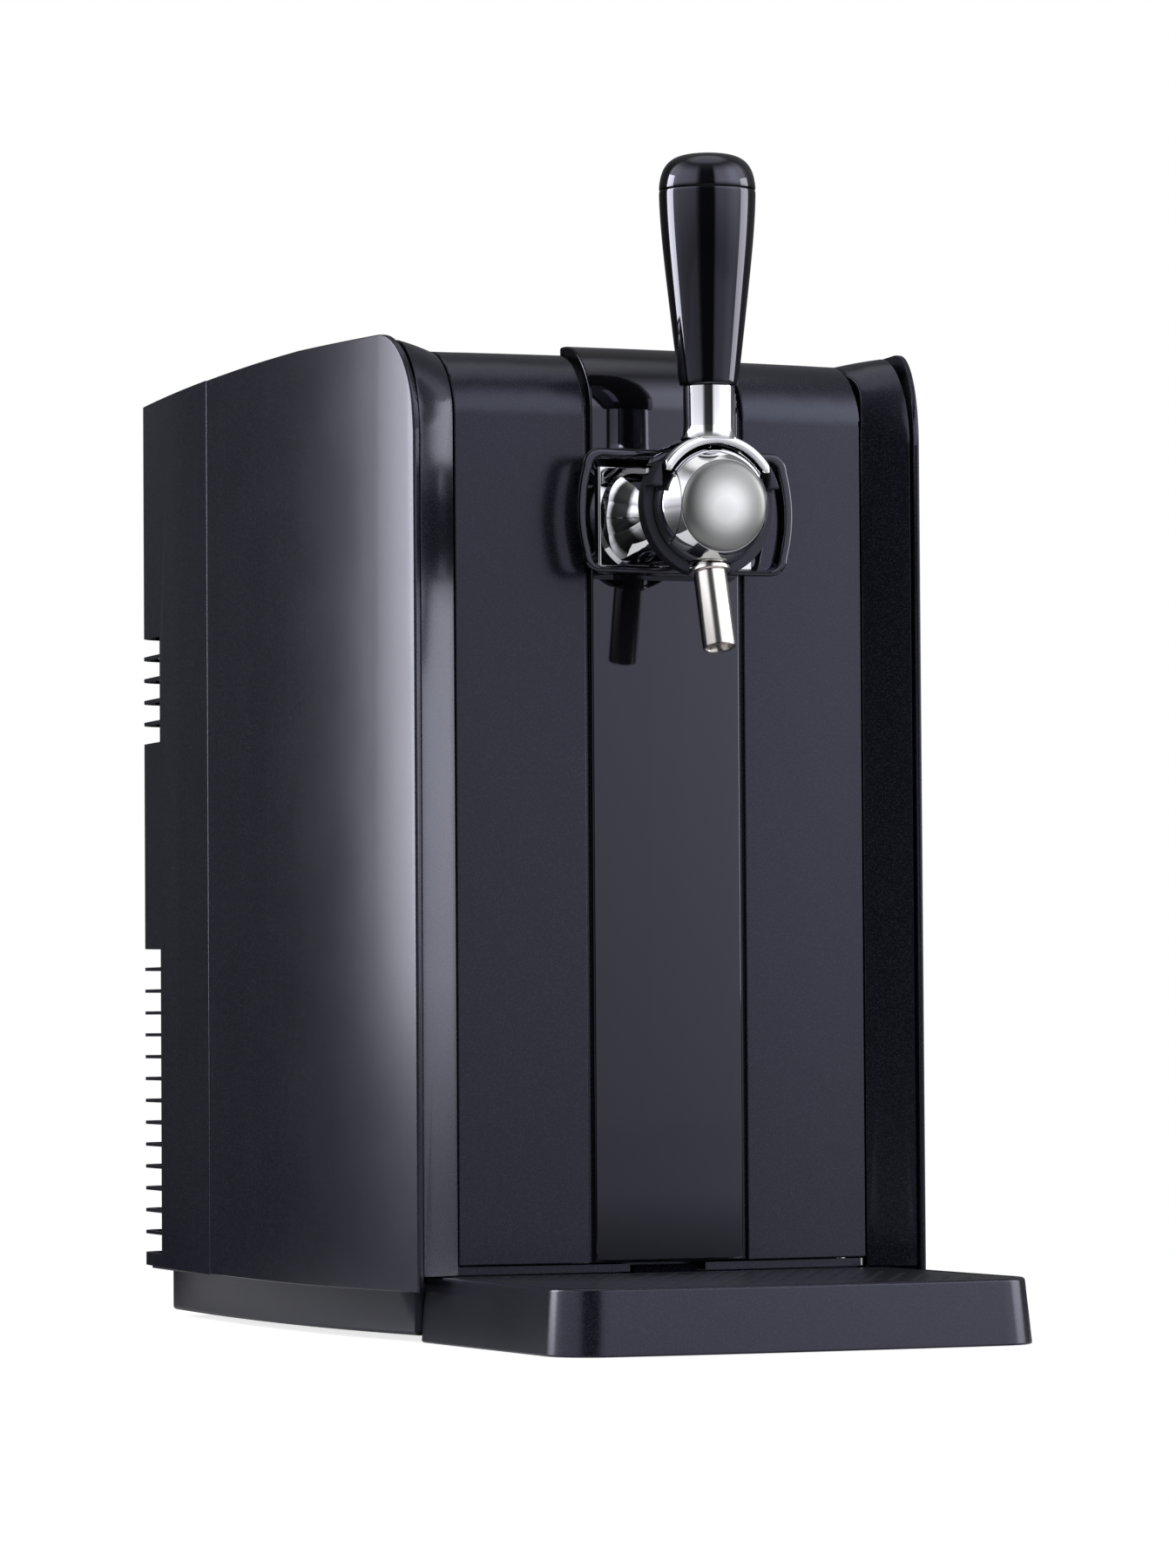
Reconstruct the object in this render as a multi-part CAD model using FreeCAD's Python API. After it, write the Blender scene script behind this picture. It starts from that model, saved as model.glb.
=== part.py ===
"""Mini keg beer dispenser: a cooled cabinet for one small keg, with a hinged door that carries the tap,
a drip tray in front and the cooling unit behind the chamber.

Millimetres. X to the right, Y to the back, Z up. The origin is the middle of the footprint, on the table.
"""
import FreeCAD, Part
import math
import os
from FreeCAD import Vector

# ---------------------------------------------------------------- driving dimensions
# Outer casing, in plan: the sides bow outwards and the rear corners are round.
BODY_HALF_WIDTH = 132.2         # widest place of the bowed sides
WIDEST_Y = 60.0                 # where the sides are widest
FRONT_HALF_WIDTH = BODY_HALF_WIDTH - 14.7  # at the front edge of the side panels
SIDE_FRONT_Y = -95.8            # front edge of the side panels
REAR_HALF_WIDTH = BODY_HALF_WIDTH - 10.4  # where the bowed side would meet the rear plane
REAR_Y = 229.0
REAR_CORNER_R = 14.0
SEAM_Y = 113.0                  # joint of the side panels and the rear cover
SKIN = 2.5                      # wall of the outer skins
SKIN_GAP = 0.3                  # gap between neighbouring skins

# Outer casing, in side view.
PANEL_BOTTOM = 21.8
PANEL_TOP = 421.5
NOSE_DEPTH = 28.0               # the top front corner is a quarter ellipse
NOSE_HEIGHT = 41.5
DIP_START_Y = 4.0               # behind this the top falls and the bottom rises a little
REAR_TOP = PANEL_TOP - 4.9
REAR_BOTTOM = PANEL_BOTTOM + 1.8

# Top cover and the bands beside the door.
DOOR_HALF_WIDTH = FRONT_HALF_WIDTH - 23.1
DOOR_FRONT_Y = SIDE_FRONT_Y + 6.2   # at the middle of the bowed front
TRAY_REAR_Y = DOOR_FRONT_Y + 13.0
TRAY_HEIGHT = 27.5
COVER_TOP = PANEL_TOP - 5.0
COVER_FLAT_HALF = DOOR_HALF_WIDTH + 2.6
COVER_WALL = 3.0
CHEEK_INNER_X = DOOR_HALF_WIDTH + 0.5
CHEEK_GROOVE = 1.6              # dark groove between the side panel and the band
CHEEK_FRONT_Y = DOOR_FRONT_Y + 5.0  # front of the band at the door
CHEEK_BULGE = 0.5
CHEEK_WALL = 4.0
CHEEK_BOTTOM = TRAY_HEIGHT + 0.7

# Door.
DOOR_BOTTOM = TRAY_HEIGHT + 4.5
DOOR_BOW_R = 887.0
DOOR_NOSE_R = 29.0
DOOR_BACK_Y = DOOR_FRONT_Y + 31.6
DOOR_SKIN = 3.0
STRIP_HALF_WIDTH = 34.3
STRIP_PROUD = 0.5
STRIP_THICK = 2.9
STRIP_TOP_RISE = 3.9
STRIP_GROOVE = 2.4
STRIP_BOTTOM = DOOR_BOTTOM + 0.6
GASKET_DEPTH = 1.95
GASKET_WIDTH = 3.5
DOOR_LINER = 2.0

# Hinge of the door, on its right-hand edge.
HINGE_X = DOOR_HALF_WIDTH - 9.4
HINGE_Y = CHEEK_FRONT_Y + 6.4
HINGE_PIN_R = 3.0
HINGE_CLEARANCE = 0.05
HINGE_UPPER_Z = COVER_TOP - 25.0
HINGE_PLATE = 3.0
HINGE_ARM_HALF = 3.0
HINGE_EYE_R = 3.6
HINGE_PIN_REACH = 12.0          # how far each pin goes into the door

# Chamber for the keg.
CHAMBER_R = DOOR_HALF_WIDTH - 5.9
CHAMBER_Y = 34.0                # axis of the keg
CHAMBER_FLOOR = DOOR_BOTTOM + 10.0
CHAMBER_ROOF = HINGE_UPPER_Z - 3.5
LINER = 2.0
INSULATION = 13.5
FRAME_FRONT_Y = DOOR_BACK_Y + 2.5
FRAME_STEP_Y = FRAME_FRONT_Y + 4.3
FRAME_BACK_Y = FRAME_FRONT_Y + 7.5
KEG_SEAT_R = CHAMBER_R - 8.5
KEG_SEAT_HEIGHT = 4.0

# Base.
FOOT_HEIGHT = 3.0
FOOT_R = 9.0
FOOT_X = FRONT_HALF_WIDTH - 32.5
FOOT_REAR_Y = REAR_Y - 39.0
PLINTH_INSET = 12.0
PLINTH_WALL = 3.0
PLINTH_FRONT_Y = TRAY_REAR_Y + 3.6
FOOT_FRONT_Y = PLINTH_FRONT_Y + 25.0
DECK_THICK = 3.0
DECK_FRONT_Y = TRAY_REAR_Y + 1.2

# Drip tray and its grid.
TRAY_HALF_WIDTH = FRONT_HALF_WIDTH - 9.3
TRAY_TAPER = 2.4                # the top is this much narrower on each side
TRAY_FRONT_Y = -225.98          # at the sides; the front bows further out
TRAY_BOW = 3.05
TRAY_CORNER_R = 21.0
TRAY_WALL = 3.2
TRAY_LEDGE = TRAY_REAR_Y - DOOR_FRONT_Y + STRIP_PROUD + 0.2  # solid ledge behind the grid
TRAY_FLOOR = 3.0
TRAY_LIFT = 0.3
GRID_THICK = 2.0
GRID_HOLE_R = 2.3
GRID_PITCH = 11.0
GRID_CLEARANCE = 0.4
TONGUE_HALF_WIDTH = 70.0
TONGUE_LENGTH = 42.0
TONGUE_BOTTOM = 7.0
TONGUE_TOP = 13.0
NOTCH_HALF_WIDTH = 17.5
CATCH_HALF_WIDTH = 14.5
CATCH_DEPTH = 8.0

# Tap.
HANDLE_TOP = 495.0
TAP_Z = HANDLE_TOP - 147.0
SURROUND_FRONT_Y = DOOR_FRONT_Y - 21.4
PLATE_FRONT_Y = SURROUND_FRONT_Y + 11.0
BALL_Y = PLATE_FRONT_Y - 31.5
BALL_R = 25.75
BALL_WALL = 2.2
CAP_R = 19.4                    # rim of the dome in the ball's front
CAP_DEPTH = 16.9                # rim in front of the ball's centre
CAP_DOME_R = 45.0
CAP_TILT = 4.0                  # degrees that the dome looks down
EAR_X = 19.2                    # fine groove round each side of the ball
STEM_Y = BALL_Y - 2.5
STEM_R = 10.7
STEM_TOP = HANDLE_TOP - 97.2
GRIP_TOP = HANDLE_TOP - 15.5
GRIP_R = 20.3                   # widest, at the grip's top
STUD_R = 4.0
STUD_LENGTH = 0.392 * (GRIP_TOP - STEM_TOP)
YOKE_HALF_WIDTH = 23.6
YOKE_R = 29.3
YOKE_INNER_R = 25.2
YOKE_BOTTOM = TAP_Z + 13.3
YOKE_FRONT_Y = BALL_Y - 11.5
YOKE_BACK_Y = BALL_Y + 9.5
YOKE_CLEARANCE = 0.85
LEVER_HALF_THICK = 3.0
LEVER_PIN_R = 2.0
BLADE_BACK = -20.0              # where the blade passes the ball, in degrees from straight up
BLADE_FRONT = -8.5
LEVER_HUB_R = 5.0
LEVER_TRAVEL = 32.0             # degrees
SPOUT_R = 7.0
SPOUT_BORE_R = 5.5
SPOUT_LEAN = 16.0               # degrees towards the front
SPOUT_END_Y = BALL_Y - 11.5
SPOUT_END_Z = TAP_Z - 60.1
SPOUT_LENGTH = 37.5
COLLAR_R = 8.8
SLIDER_BORE_R = 7.0
PLATE_THICK = 2.5
PLATE_HALF_WIDTH = 35.4
PLATE_LOW = TAP_Z - 24.4
PLATE_HIGH = TAP_Z + 18.6
NECK_SEAM_Z = TAP_Z - 3.7
NECK_HALF_WIDTH = 31.8          # where the neck meets the plate
NECK_WAIST_R = 16.6
FLANGE_R = 25.2                 # front end of the neck, which closes the ball
HOOK_LENGTH = 7.0               # the ring's ends reach forwards beside the saddle
RING_R = 30.0
RING_FRONT_Y = BALL_Y - 2.5
RING_BACK_Y = BALL_Y + 4.0

# Black surround of the tap.
SURROUND_HALF_WIDTH = 50.0
SURROUND_BACK_HALF_WIDTH = 39.5
SURROUND_LOW = TAP_Z - 27.2
SURROUND_HIGH = TAP_Z + 25.0
SURROUND_CORNER_R = 8.0
SURROUND_RIM = 4.0
SURROUND_SIDE_BOW = 2.5
SURROUND_LIP = 0.9

# Louvres in the rear cover.
LOUVRE_PITCH = 10.0
LOUVRE_FIN = 1.5
LOWER_LOUVRE_Z = 29.3
LOWER_LOUVRES = 14
UPPER_LOUVRE_Z = 261.7
UPPER_LOUVRES = 5
LOUVRE_FRONT_Y = 189.0          # the slots run round the corner from here
LOUVRE_INNER_X = 16.0           # a solid rib is left in the middle of the rear

# Cooling unit and electrics behind the chamber.
BULKHEAD_Y = CHAMBER_Y + CHAMBER_R + LINER + INSULATION + 0.3
BULKHEAD_THICK = 2.7
BULKHEAD_HALF_WIDTH = FRONT_HALF_WIDTH - 13.5
BULKHEAD_TOP = COVER_TOP - 12.5
COOLER_Z = 110.0
COLD_PLATE_HALF = 35.0
COLD_PLATE_HALF_HEIGHT = 40.0
PELTIER_HALF = 20.0
PELTIER_THICK = 4.0
SINK_HALF = 45.0
SINK_BASE = 5.0
SINK_DEPTH = 34.0
SINK_FIN = 1.2
SINK_FINS = 17
FAN_HALF = 46.0
FAN_DEPTH = 25.0
FAN_DUCT_R = 43.0
FAN_HUB_R = 16.0
FAN_BLADES = 7
INLET_X = -62.0
SWITCH_X = -24.0
SOCKET_Z = 215.0
SOCKET_HALF_HEIGHT = 12.3
INLET_HALF_WIDTH = 16.3
SWITCH_HALF_WIDTH = 8.3
PUMP_Z = BULKHEAD_TOP - 32.0
PUMP_Y = BULKHEAD_Y + 20.2
NOZZLE_X = 12.5 - CHAMBER_R
NOZZLE_Y = 60.0
NOZZLE_R = 4.0
HOSE_R = 3.5
DISPLAY_HALF_WIDTH = 34.0
DISPLAY_Y = -28.0
DISPLAY_HALF_DEPTH = 14.0

# ---------------------------------------------------------------- worked out from these
BODY_TOP = max(PANEL_TOP, COVER_TOP)
COVER_EDGE_TOP = PANEL_TOP - 0.4
CHEEK_OUTER_X = FRONT_HALF_WIDTH - 2.0 - CHEEK_GROOVE
DECK_BOTTOM = PANEL_BOTTOM + 0.2
DECK_TOP = DECK_BOTTOM + DECK_THICK
SILL_TOP = DOOR_BOTTOM - 0.6
LOWER_BUSH_HIGH = DOOR_BOTTOM + HINGE_PIN_REACH + 1.5
UPPER_BUSH_LOW = HINGE_UPPER_Z - HINGE_PIN_REACH - 1.5
GASKET_OUTER_X = CHAMBER_R + 2.5
DOOR_INNER_TOP = HINGE_UPPER_Z - 1.5
GASKET_LOW = CHAMBER_FLOOR - 3.0
GASKET_HIGH = CHAMBER_ROOF + 1.0
PELTIER_Y = BULKHEAD_Y + BULKHEAD_THICK
SINK_Y = PELTIER_Y + PELTIER_THICK
FAN_Y = SINK_Y + SINK_DEPTH
SPOUT_AXIS = Vector(0, -math.sin(math.radians(SPOUT_LEAN)), -math.cos(math.radians(SPOUT_LEAN)))
CAP_AXIS = Vector(0, -math.cos(math.radians(CAP_TILT)), -math.sin(math.radians(CAP_TILT)))
SPOUT_END = Vector(0, SPOUT_END_Y, SPOUT_END_Z)
BALL_CENTRE = Vector(0, BALL_Y, TAP_Z)
AXIS_X = Vector(1, 0, 0)
AXIS_Y = Vector(0, 1, 0)
AXIS_Z = Vector(0, 0, 1)
FAR = 600.0                     # reaches past the whole object, for cutting


# ---------------------------------------------------------------- shape helpers
def box(x0, x1, y0, y1, z0, z1):
    """A block between two corners."""
    return Part.makeBox(x1 - x0, y1 - y0, z1 - z0, Vector(x0, y0, z0))


def rod(radius, start, axis, length):
    """A solid cylinder."""
    return Part.makeCylinder(radius, length, start, axis)


def tube(outer_r, inner_r, start, axis, length):
    """A hollow cylinder."""
    return rod(outer_r, start, axis, length).cut(rod(inner_r, start, axis, length))


def ball(radius, centre):
    """A solid sphere."""
    return Part.makeSphere(radius, centre)


def line(a, b):
    return Part.LineSegment(a, b).toShape()


def arc(a, middle, b):
    return Part.Arc(a, middle, b).toShape()


def quarter(start, corner, end):
    """A quarter ellipse from start to end that is tangent to the lines towards corner."""
    curve = Part.BezierCurve()
    curve.setPoles([start, corner, end])
    curve.setWeight(2, math.sqrt(0.5))
    return curve.toShape()


def loop(points):
    """A closed wire of straight edges."""
    return Part.makePolygon(points + [points[0]])


def prism(points, direction):
    """A closed polygon drawn out along a direction."""
    return Part.Face(loop(points)).extrude(direction)


def drawn(edges, direction):
    """A closed wire of mixed edges drawn out along a direction."""
    return Part.Face(Part.Wire(edges)).extrude(direction)


def turned(points, centre, axis):
    """A closed polygon turned once about an axis."""
    return Part.Face(loop(points)).revolve(centre, axis, 360)


def mirrored(shape):
    """The same piece on the other side of the object."""
    return shape.mirror(Vector(0, 0, 0), AXIS_X)


def joined(shapes):
    """One solid from pieces that overlap or share a face."""
    first, rest = shapes[0], shapes[1:]
    return first.multiFuse(rest).removeSplitter() if rest else first


def group(shapes):
    """Separate solids that share one node."""
    return Part.makeCompound([solid for shape in shapes for solid in shape.Solids])


def one_solid(shape):
    """The largest solid of a result, without slivers."""
    return max(shape.Solids, key=lambda solid: solid.Volume)


# ---------------------------------------------------------------- casing
def side_radius(half_width, y):
    """Radius of the bowed side through half_width at y, from the widest place."""
    drop = BODY_HALF_WIDTH - half_width
    run = y - WIDEST_Y
    return (run * run + drop * drop) / (2 * drop)


FRONT_BOW_R = side_radius(FRONT_HALF_WIDTH, SIDE_FRONT_Y)
REAR_BOW_R = side_radius(REAR_HALF_WIDTH, REAR_Y)


def side_half_width(y, inset=0.0):
    """Half width of the casing at y, with its skin taken off by inset."""
    radius = (FRONT_BOW_R if y < WIDEST_Y else REAR_BOW_R) - inset
    return BODY_HALF_WIDTH - inset - radius + math.sqrt(radius ** 2 - (y - WIDEST_Y) ** 2)


def casing_plan(inset, front_y, z0, z1):
    """The casing's outline in plan, moved inwards by inset, as a block from z0 to z1."""
    wide = BODY_HALF_WIDTH - inset
    rear = REAR_Y - inset
    corner = REAR_CORNER_R - inset
    if corner < 4.0:
        corner = 4.0
    rear_r = REAR_BOW_R - inset
    bow_x = wide - rear_r                              # centre of the rear bow on the right side
    corner_y = rear - corner
    corner_x = bow_x + math.sqrt((rear_r - corner) ** 2 - (corner_y - WIDEST_Y) ** 2)
    to_corner = Vector(corner_x - bow_x, corner_y - WIDEST_Y, 0).normalize()
    meet = Vector(corner_x, corner_y, 0) + to_corner * corner
    half_turn = (to_corner + AXIS_Y).normalize()
    corner_mid = Vector(corner_x, corner_y, 0) + half_turn * corner
    mid_y = (front_y + WIDEST_Y) / 2
    low_y = (meet.y + WIDEST_Y) / 2
    right = [Vector(side_half_width(front_y, inset), front_y, 0),
             Vector(side_half_width(mid_y, inset), mid_y, 0),
             Vector(wide, WIDEST_Y, 0),
             Vector(side_half_width(low_y, inset), low_y, 0),
             meet, corner_mid, Vector(corner_x, rear, 0)]
    left = [Vector(-p.x, p.y, 0) for p in right]
    edges = [arc(right[0], right[1], right[2]), arc(right[2], right[3], right[4]),
             arc(right[4], right[5], right[6]), line(right[6], left[6]),
             arc(left[6], left[5], left[4]), arc(left[4], left[3], left[2]),
             arc(left[2], left[1], left[0]), line(left[0], right[0])]
    block = drawn(edges, Vector(0, 0, z1 - z0))
    block.translate(Vector(0, 0, z0))
    return block


def casing_side(drop=0.0):
    """The casing's outline in side view, across the whole width; drop lowers its top edge."""
    top = PANEL_TOP - drop
    nose_y = SIDE_FRONT_Y + NOSE_DEPTH
    points = [Vector(-FAR / 2, SIDE_FRONT_Y, PANEL_BOTTOM),
              Vector(-FAR / 2, SIDE_FRONT_Y, top - NOSE_HEIGHT),
              Vector(-FAR / 2, nose_y, top),
              Vector(-FAR / 2, DIP_START_Y, top),
              Vector(-FAR / 2, REAR_Y + 1, REAR_TOP - drop),
              Vector(-FAR / 2, REAR_Y + 1, REAR_BOTTOM),
              Vector(-FAR / 2, DIP_START_Y, PANEL_BOTTOM)]
    nose_corner = Vector(-FAR / 2, SIDE_FRONT_Y, top)
    edges = [line(points[0], points[1]), quarter(points[1], nose_corner, points[2])]
    edges += [line(points[i], points[i + 1]) for i in range(2, 6)]
    edges.append(line(points[6], points[0]))
    return drawn(edges, Vector(FAR, 0, 0))


def casing_skin():
    """The whole outer skin, open in front, above and below."""
    outer = casing_plan(0, SIDE_FRONT_Y, 0, BODY_TOP + 10)
    inner = casing_plan(SKIN, SIDE_FRONT_Y - 20, -5, BODY_TOP + 15)
    return outer.cut(inner).common(casing_side())


def crown_cut():
    """What is cut from above so that the top is flat in the middle and rises to its edges."""
    edge_x = BODY_HALF_WIDTH - SKIN
    slope = (COVER_EDGE_TOP - COVER_TOP) / (edge_x - COVER_FLAT_HALF)
    far_x = BODY_HALF_WIDTH + 20
    far_z = COVER_TOP + slope * (far_x - COVER_FLAT_HALF)
    points = [Vector(-COVER_FLAT_HALF, -FAR / 2, COVER_TOP), Vector(COVER_FLAT_HALF, -FAR / 2, COVER_TOP),
              Vector(far_x, -FAR / 2, far_z), Vector(far_x, -FAR / 2, far_z + 60),
              Vector(-far_x, -FAR / 2, far_z + 60), Vector(-far_x, -FAR / 2, far_z)]
    return prism(points, Vector(0, FAR, 0))


def make_side_panel():
    """Right-hand outer skin, from the front edge to the seam."""
    return one_solid(casing_skin().common(box(10, FAR, -FAR, SEAM_Y - SKIN_GAP, -10, FAR)))


def make_top_cover():
    """Lid between the side panels, from behind the door to the seam."""
    front_y = FRAME_FRONT_Y + 0.1
    plan = casing_plan(SKIN + 0.2, front_y, COVER_TOP - 20, BODY_TOP + 10)
    lid = plan.common(casing_side(0.3)).common(box(-FAR, FAR, front_y, SEAM_Y - SKIN_GAP, 0, FAR))
    top = crown_cut()
    below = top.copy()
    below.translate(Vector(0, 0, -COVER_WALL))
    lid = lid.cut(top).common(below)
    window = box(-DISPLAY_HALF_WIDTH, DISPLAY_HALF_WIDTH, DISPLAY_Y - DISPLAY_HALF_DEPTH,
                 DISPLAY_Y + DISPLAY_HALF_DEPTH, COVER_TOP - 10, COVER_TOP + 5)
    corner = box(CHEEK_INNER_X - 0.2, FAR, -FAR, FRAME_STEP_Y + 0.1, 0, FAR)
    return one_solid(lid.cut(window).cut(corner).cut(mirrored(corner)))


def louvre_slots(first_z, count):
    """Slots through the rear wall that run round both rear corners."""
    slots = []
    for i in range(count):
        low = first_z + LOUVRE_PITCH * i
        high = low + LOUVRE_PITCH - LOUVRE_FIN
        slots.append(box(LOUVRE_INNER_X, FAR, LOUVRE_FRONT_Y, REAR_Y + 5, low, high))
        slots.append(box(-FAR, -LOUVRE_INNER_X, LOUVRE_FRONT_Y, REAR_Y + 5, low, high))
    return slots


def post_places():
    """Where the screws of the rear cover go, as (x, z)."""
    return [(side * (BULKHEAD_HALF_WIDTH - 12.0), z) for side in (-1, 1) for z in (190.0, 340.0)]


def socket_block(x, half_width, clear):
    """Flange of the inlet or the switch in the rear wall, larger by clear on its four sides."""
    half = half_width + clear
    half_height = SOCKET_HALF_HEIGHT + clear
    return box(x - half, x + half, REAR_Y - SKIN - 1, REAR_Y, SOCKET_Z - half_height, SOCKET_Z + half_height)


def make_rear_cover():
    """Rear shell with its own top and the two fields of louvres."""
    outer = casing_plan(0, SEAM_Y, 0, BODY_TOP + 10).common(casing_side()).cut(crown_cut())
    inner = casing_plan(SKIN, SEAM_Y - 20, -5, BODY_TOP + 15).common(casing_side(SKIN))
    lower = crown_cut()
    lower.translate(Vector(0, 0, -SKIN))
    inner = inner.cut(lower)
    below = casing_plan(SKIN, SEAM_Y - 20, -5, REAR_BOTTOM + 20)
    shell = outer.cut(inner).cut(below).common(box(-FAR, FAR, SEAM_Y + SKIN_GAP, FAR, 0, FAR))
    cuts = louvre_slots(LOWER_LOUVRE_Z, LOWER_LOUVRES) + louvre_slots(UPPER_LOUVRE_Z, UPPER_LOUVRES)
    cuts.append(socket_block(INLET_X, INLET_HALF_WIDTH, 0.2))
    cuts.append(socket_block(SWITCH_X, SWITCH_HALF_WIDTH, 0.2))
    for x, z in post_places():
        cuts.append(rod(1.8, Vector(x, REAR_Y - 10, z), AXIS_Y, 20))
        cuts.append(rod(3.7, Vector(x, REAR_Y - 1.4, z), AXIS_Y, 5))
    return one_solid(shell.cut(cuts[0].multiFuse(cuts[1:])))


def cheek_section(x, front_y, nose_z, nose_y, top, back_y, low):
    """One section of the band beside the door, in a plane across X."""
    points = [Vector(x, back_y, low), Vector(x, front_y, low), Vector(x, front_y, nose_z),
              Vector(x, nose_y, top), Vector(x, back_y, top)]
    edges = [line(points[0], points[1]), line(points[1], points[2]),
             quarter(points[2], Vector(x, front_y, top), points[3]),
             line(points[3], points[4]), line(points[4], points[0])]
    return Part.Wire(edges)


def cheek_block(grow, inner_x, outer_x, low):
    """The band as a block; grow moves its front and top faces, so that it also makes its own hollow."""
    back = FRAME_STEP_Y - 0.1
    span = CHEEK_OUTER_X - CHEEK_INNER_X
    outer_front = SIDE_FRONT_Y + 1.6

    def section(x):
        share = (x - CHEEK_INNER_X) / span
        bulge = CHEEK_BULGE * 4 * share * (1 - share) if 0 < share < 1 else 0.0
        front = CHEEK_FRONT_Y + share * (outer_front - CHEEK_FRONT_Y) - bulge - grow
        top = COVER_TOP - 0.3 + share * (COVER_EDGE_TOP - 1 - COVER_TOP) + bulge * 0.6 + grow
        nose_y = front + DOOR_NOSE_R + share * (NOSE_DEPTH - DOOR_NOSE_R)
        nose_z = top - DOOR_NOSE_R - share * (NOSE_HEIGHT - DOOR_NOSE_R)
        return cheek_section(x, front, nose_z, nose_y, top, back if grow >= 0 else back + 5, low)

    places = [inner_x, (inner_x + outer_x) / 2, outer_x]
    return Part.makeLoft([section(x) for x in places], True, False)


def make_cheek(hinge_side):
    """Right-hand band between the side panel and the door: a shell with its inner wall beside the door."""
    solid = cheek_block(0.0, CHEEK_INNER_X, CHEEK_OUTER_X, DECK_TOP)
    hollow = cheek_block(-3.0, CHEEK_INNER_X + CHEEK_WALL, CHEEK_OUTER_X + 4, 0.0)
    cheek = solid.cut(hollow).cut(box(0, FAR, -FAR, DECK_FRONT_Y, 0, CHEEK_BOTTOM))
    if hinge_side:
        relief = math.hypot(DOOR_HALF_WIDTH - HINGE_X, CHEEK_FRONT_Y - HINGE_Y) + 0.4
        cheek = cheek.cut(rod(relief, Vector(HINGE_X, HINGE_Y, 0), AXIS_Z, FAR))
    else:
        cheek = cheek.cut(catch_block(CHEEK_INNER_X - 1, CHEEK_INNER_X + 1.0))
    return one_solid(cheek)


def catch_block(x0, x1):
    """Place of the catch plate, drawn on the right and used mirrored."""
    return box(x0, x1, -77.0, -65.0, 190.0, 230.0)


def make_catch_plate():
    """Steel plate that the door magnet holds, let into the left band."""
    return mirrored(catch_block(CHEEK_INNER_X, CHEEK_INNER_X + 1.0))


def door_front_y(x, grow=0.0):
    """Y of the bowed door front at x, moved out by grow."""
    return DOOR_FRONT_Y + DOOR_BOW_R - math.sqrt((DOOR_BOW_R + grow) ** 2 - x ** 2)


def make_front_sill():
    """Fixed strip under the door, with the notch for the catch of the drip tray."""
    half = CHEEK_INNER_X - 0.3
    front = [Vector(-half, door_front_y(half, -2.5), DECK_TOP), Vector(0, door_front_y(0, -2.5), DECK_TOP),
             Vector(half, door_front_y(half, -2.5), DECK_TOP)]
    back_y = FRAME_FRONT_Y - 0.3
    edges = [arc(front[0], front[1], front[2]), line(front[2], Vector(half, back_y, DECK_TOP)),
             line(Vector(half, back_y, DECK_TOP), Vector(-half, back_y, DECK_TOP)),
             line(Vector(-half, back_y, DECK_TOP), front[0])]
    sill = drawn(edges, Vector(0, 0, SILL_TOP - DECK_TOP))
    sill = sill.cut(box(-FAR, FAR, -FAR, DECK_FRONT_Y, 0, CHEEK_BOTTOM))
    sill = sill.cut(box(-NOTCH_HALF_WIDTH, NOTCH_HALF_WIDTH, -FAR, DECK_FRONT_Y - 0.6, 0, FAR))
    return one_solid(sill.cut(hinge_leaf(SILL_TOP - HINGE_PLATE, SILL_TOP + 1)))


# ---------------------------------------------------------------- base
def make_base_plinth():
    """Set-back base with the deck that carries the casing, and the pocket for the tray's tongue."""
    ring = casing_plan(PLINTH_INSET, PLINTH_FRONT_Y, FOOT_HEIGHT, DECK_BOTTOM + 1)
    hollow = casing_plan(PLINTH_INSET + PLINTH_WALL, PLINTH_FRONT_Y + PLINTH_WALL,
                         FOOT_HEIGHT + PLINTH_WALL, DECK_BOTTOM + 1)
    deck = casing_plan(SKIN + 0.3, DECK_FRONT_Y, DECK_BOTTOM, DECK_TOP)
    base = joined([ring.cut(hollow), deck])
    slot = box(-TONGUE_HALF_WIDTH - GRID_CLEARANCE, TONGUE_HALF_WIDTH + GRID_CLEARANCE, -FAR,
               PLINTH_FRONT_Y + PLINTH_WALL + 0.5, TONGUE_BOTTOM - 0.3, TONGUE_TOP + 0.3)
    rib_depth = 12.0
    guides = [box(side * 40 - 4, side * 40 + 4, PLINTH_FRONT_Y + PLINTH_WALL - 0.5,
                  PLINTH_FRONT_Y + TONGUE_LENGTH, TONGUE_TOP + 0.3, DECK_BOTTOM + 0.5) for side in (-1, 1)]
    guides += [box(side * 40 - 4, side * 40 + 4, PLINTH_FRONT_Y + PLINTH_WALL - 0.5,
                   PLINTH_FRONT_Y + rib_depth, FOOT_HEIGHT + 1, TONGUE_BOTTOM - 0.3) for side in (-1, 1)]
    return one_solid(joined([base.cut(slot)] + guides))


def make_rubber_feet():
    """Four feet under the plinth."""
    places = [(side * FOOT_X, y) for side in (-1, 1) for y in (FOOT_FRONT_Y, FOOT_REAR_Y)]
    return group([rod(FOOT_R, Vector(x, y, 0), AXIS_Z, FOOT_HEIGHT) for x, y in places])


# ---------------------------------------------------------------- chamber
def chamber_block(grow, front_y, low, high):
    """U-shaped block round the keg's axis, open to the front in plan."""
    radius = CHAMBER_R + grow
    front = [Vector(radius, front_y, low), Vector(-radius, front_y, low)]
    back = [Vector(-radius, CHAMBER_Y, low), Vector(0, CHAMBER_Y + radius, low),
            Vector(radius, CHAMBER_Y, low)]
    edges = [line(front[0], front[1]), line(front[1], back[0]), arc(back[0], back[1], back[2]),
             line(back[2], front[0])]
    return drawn(edges, Vector(0, 0, high - low))


def nozzle_pipe(radius):
    """The straight path of the air line through the wall of the chamber."""
    return rod(radius, Vector(NOZZLE_X, NOZZLE_Y, PUMP_Z), AXIS_Y, PELTIER_Y + 1 - NOZZLE_Y)


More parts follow.
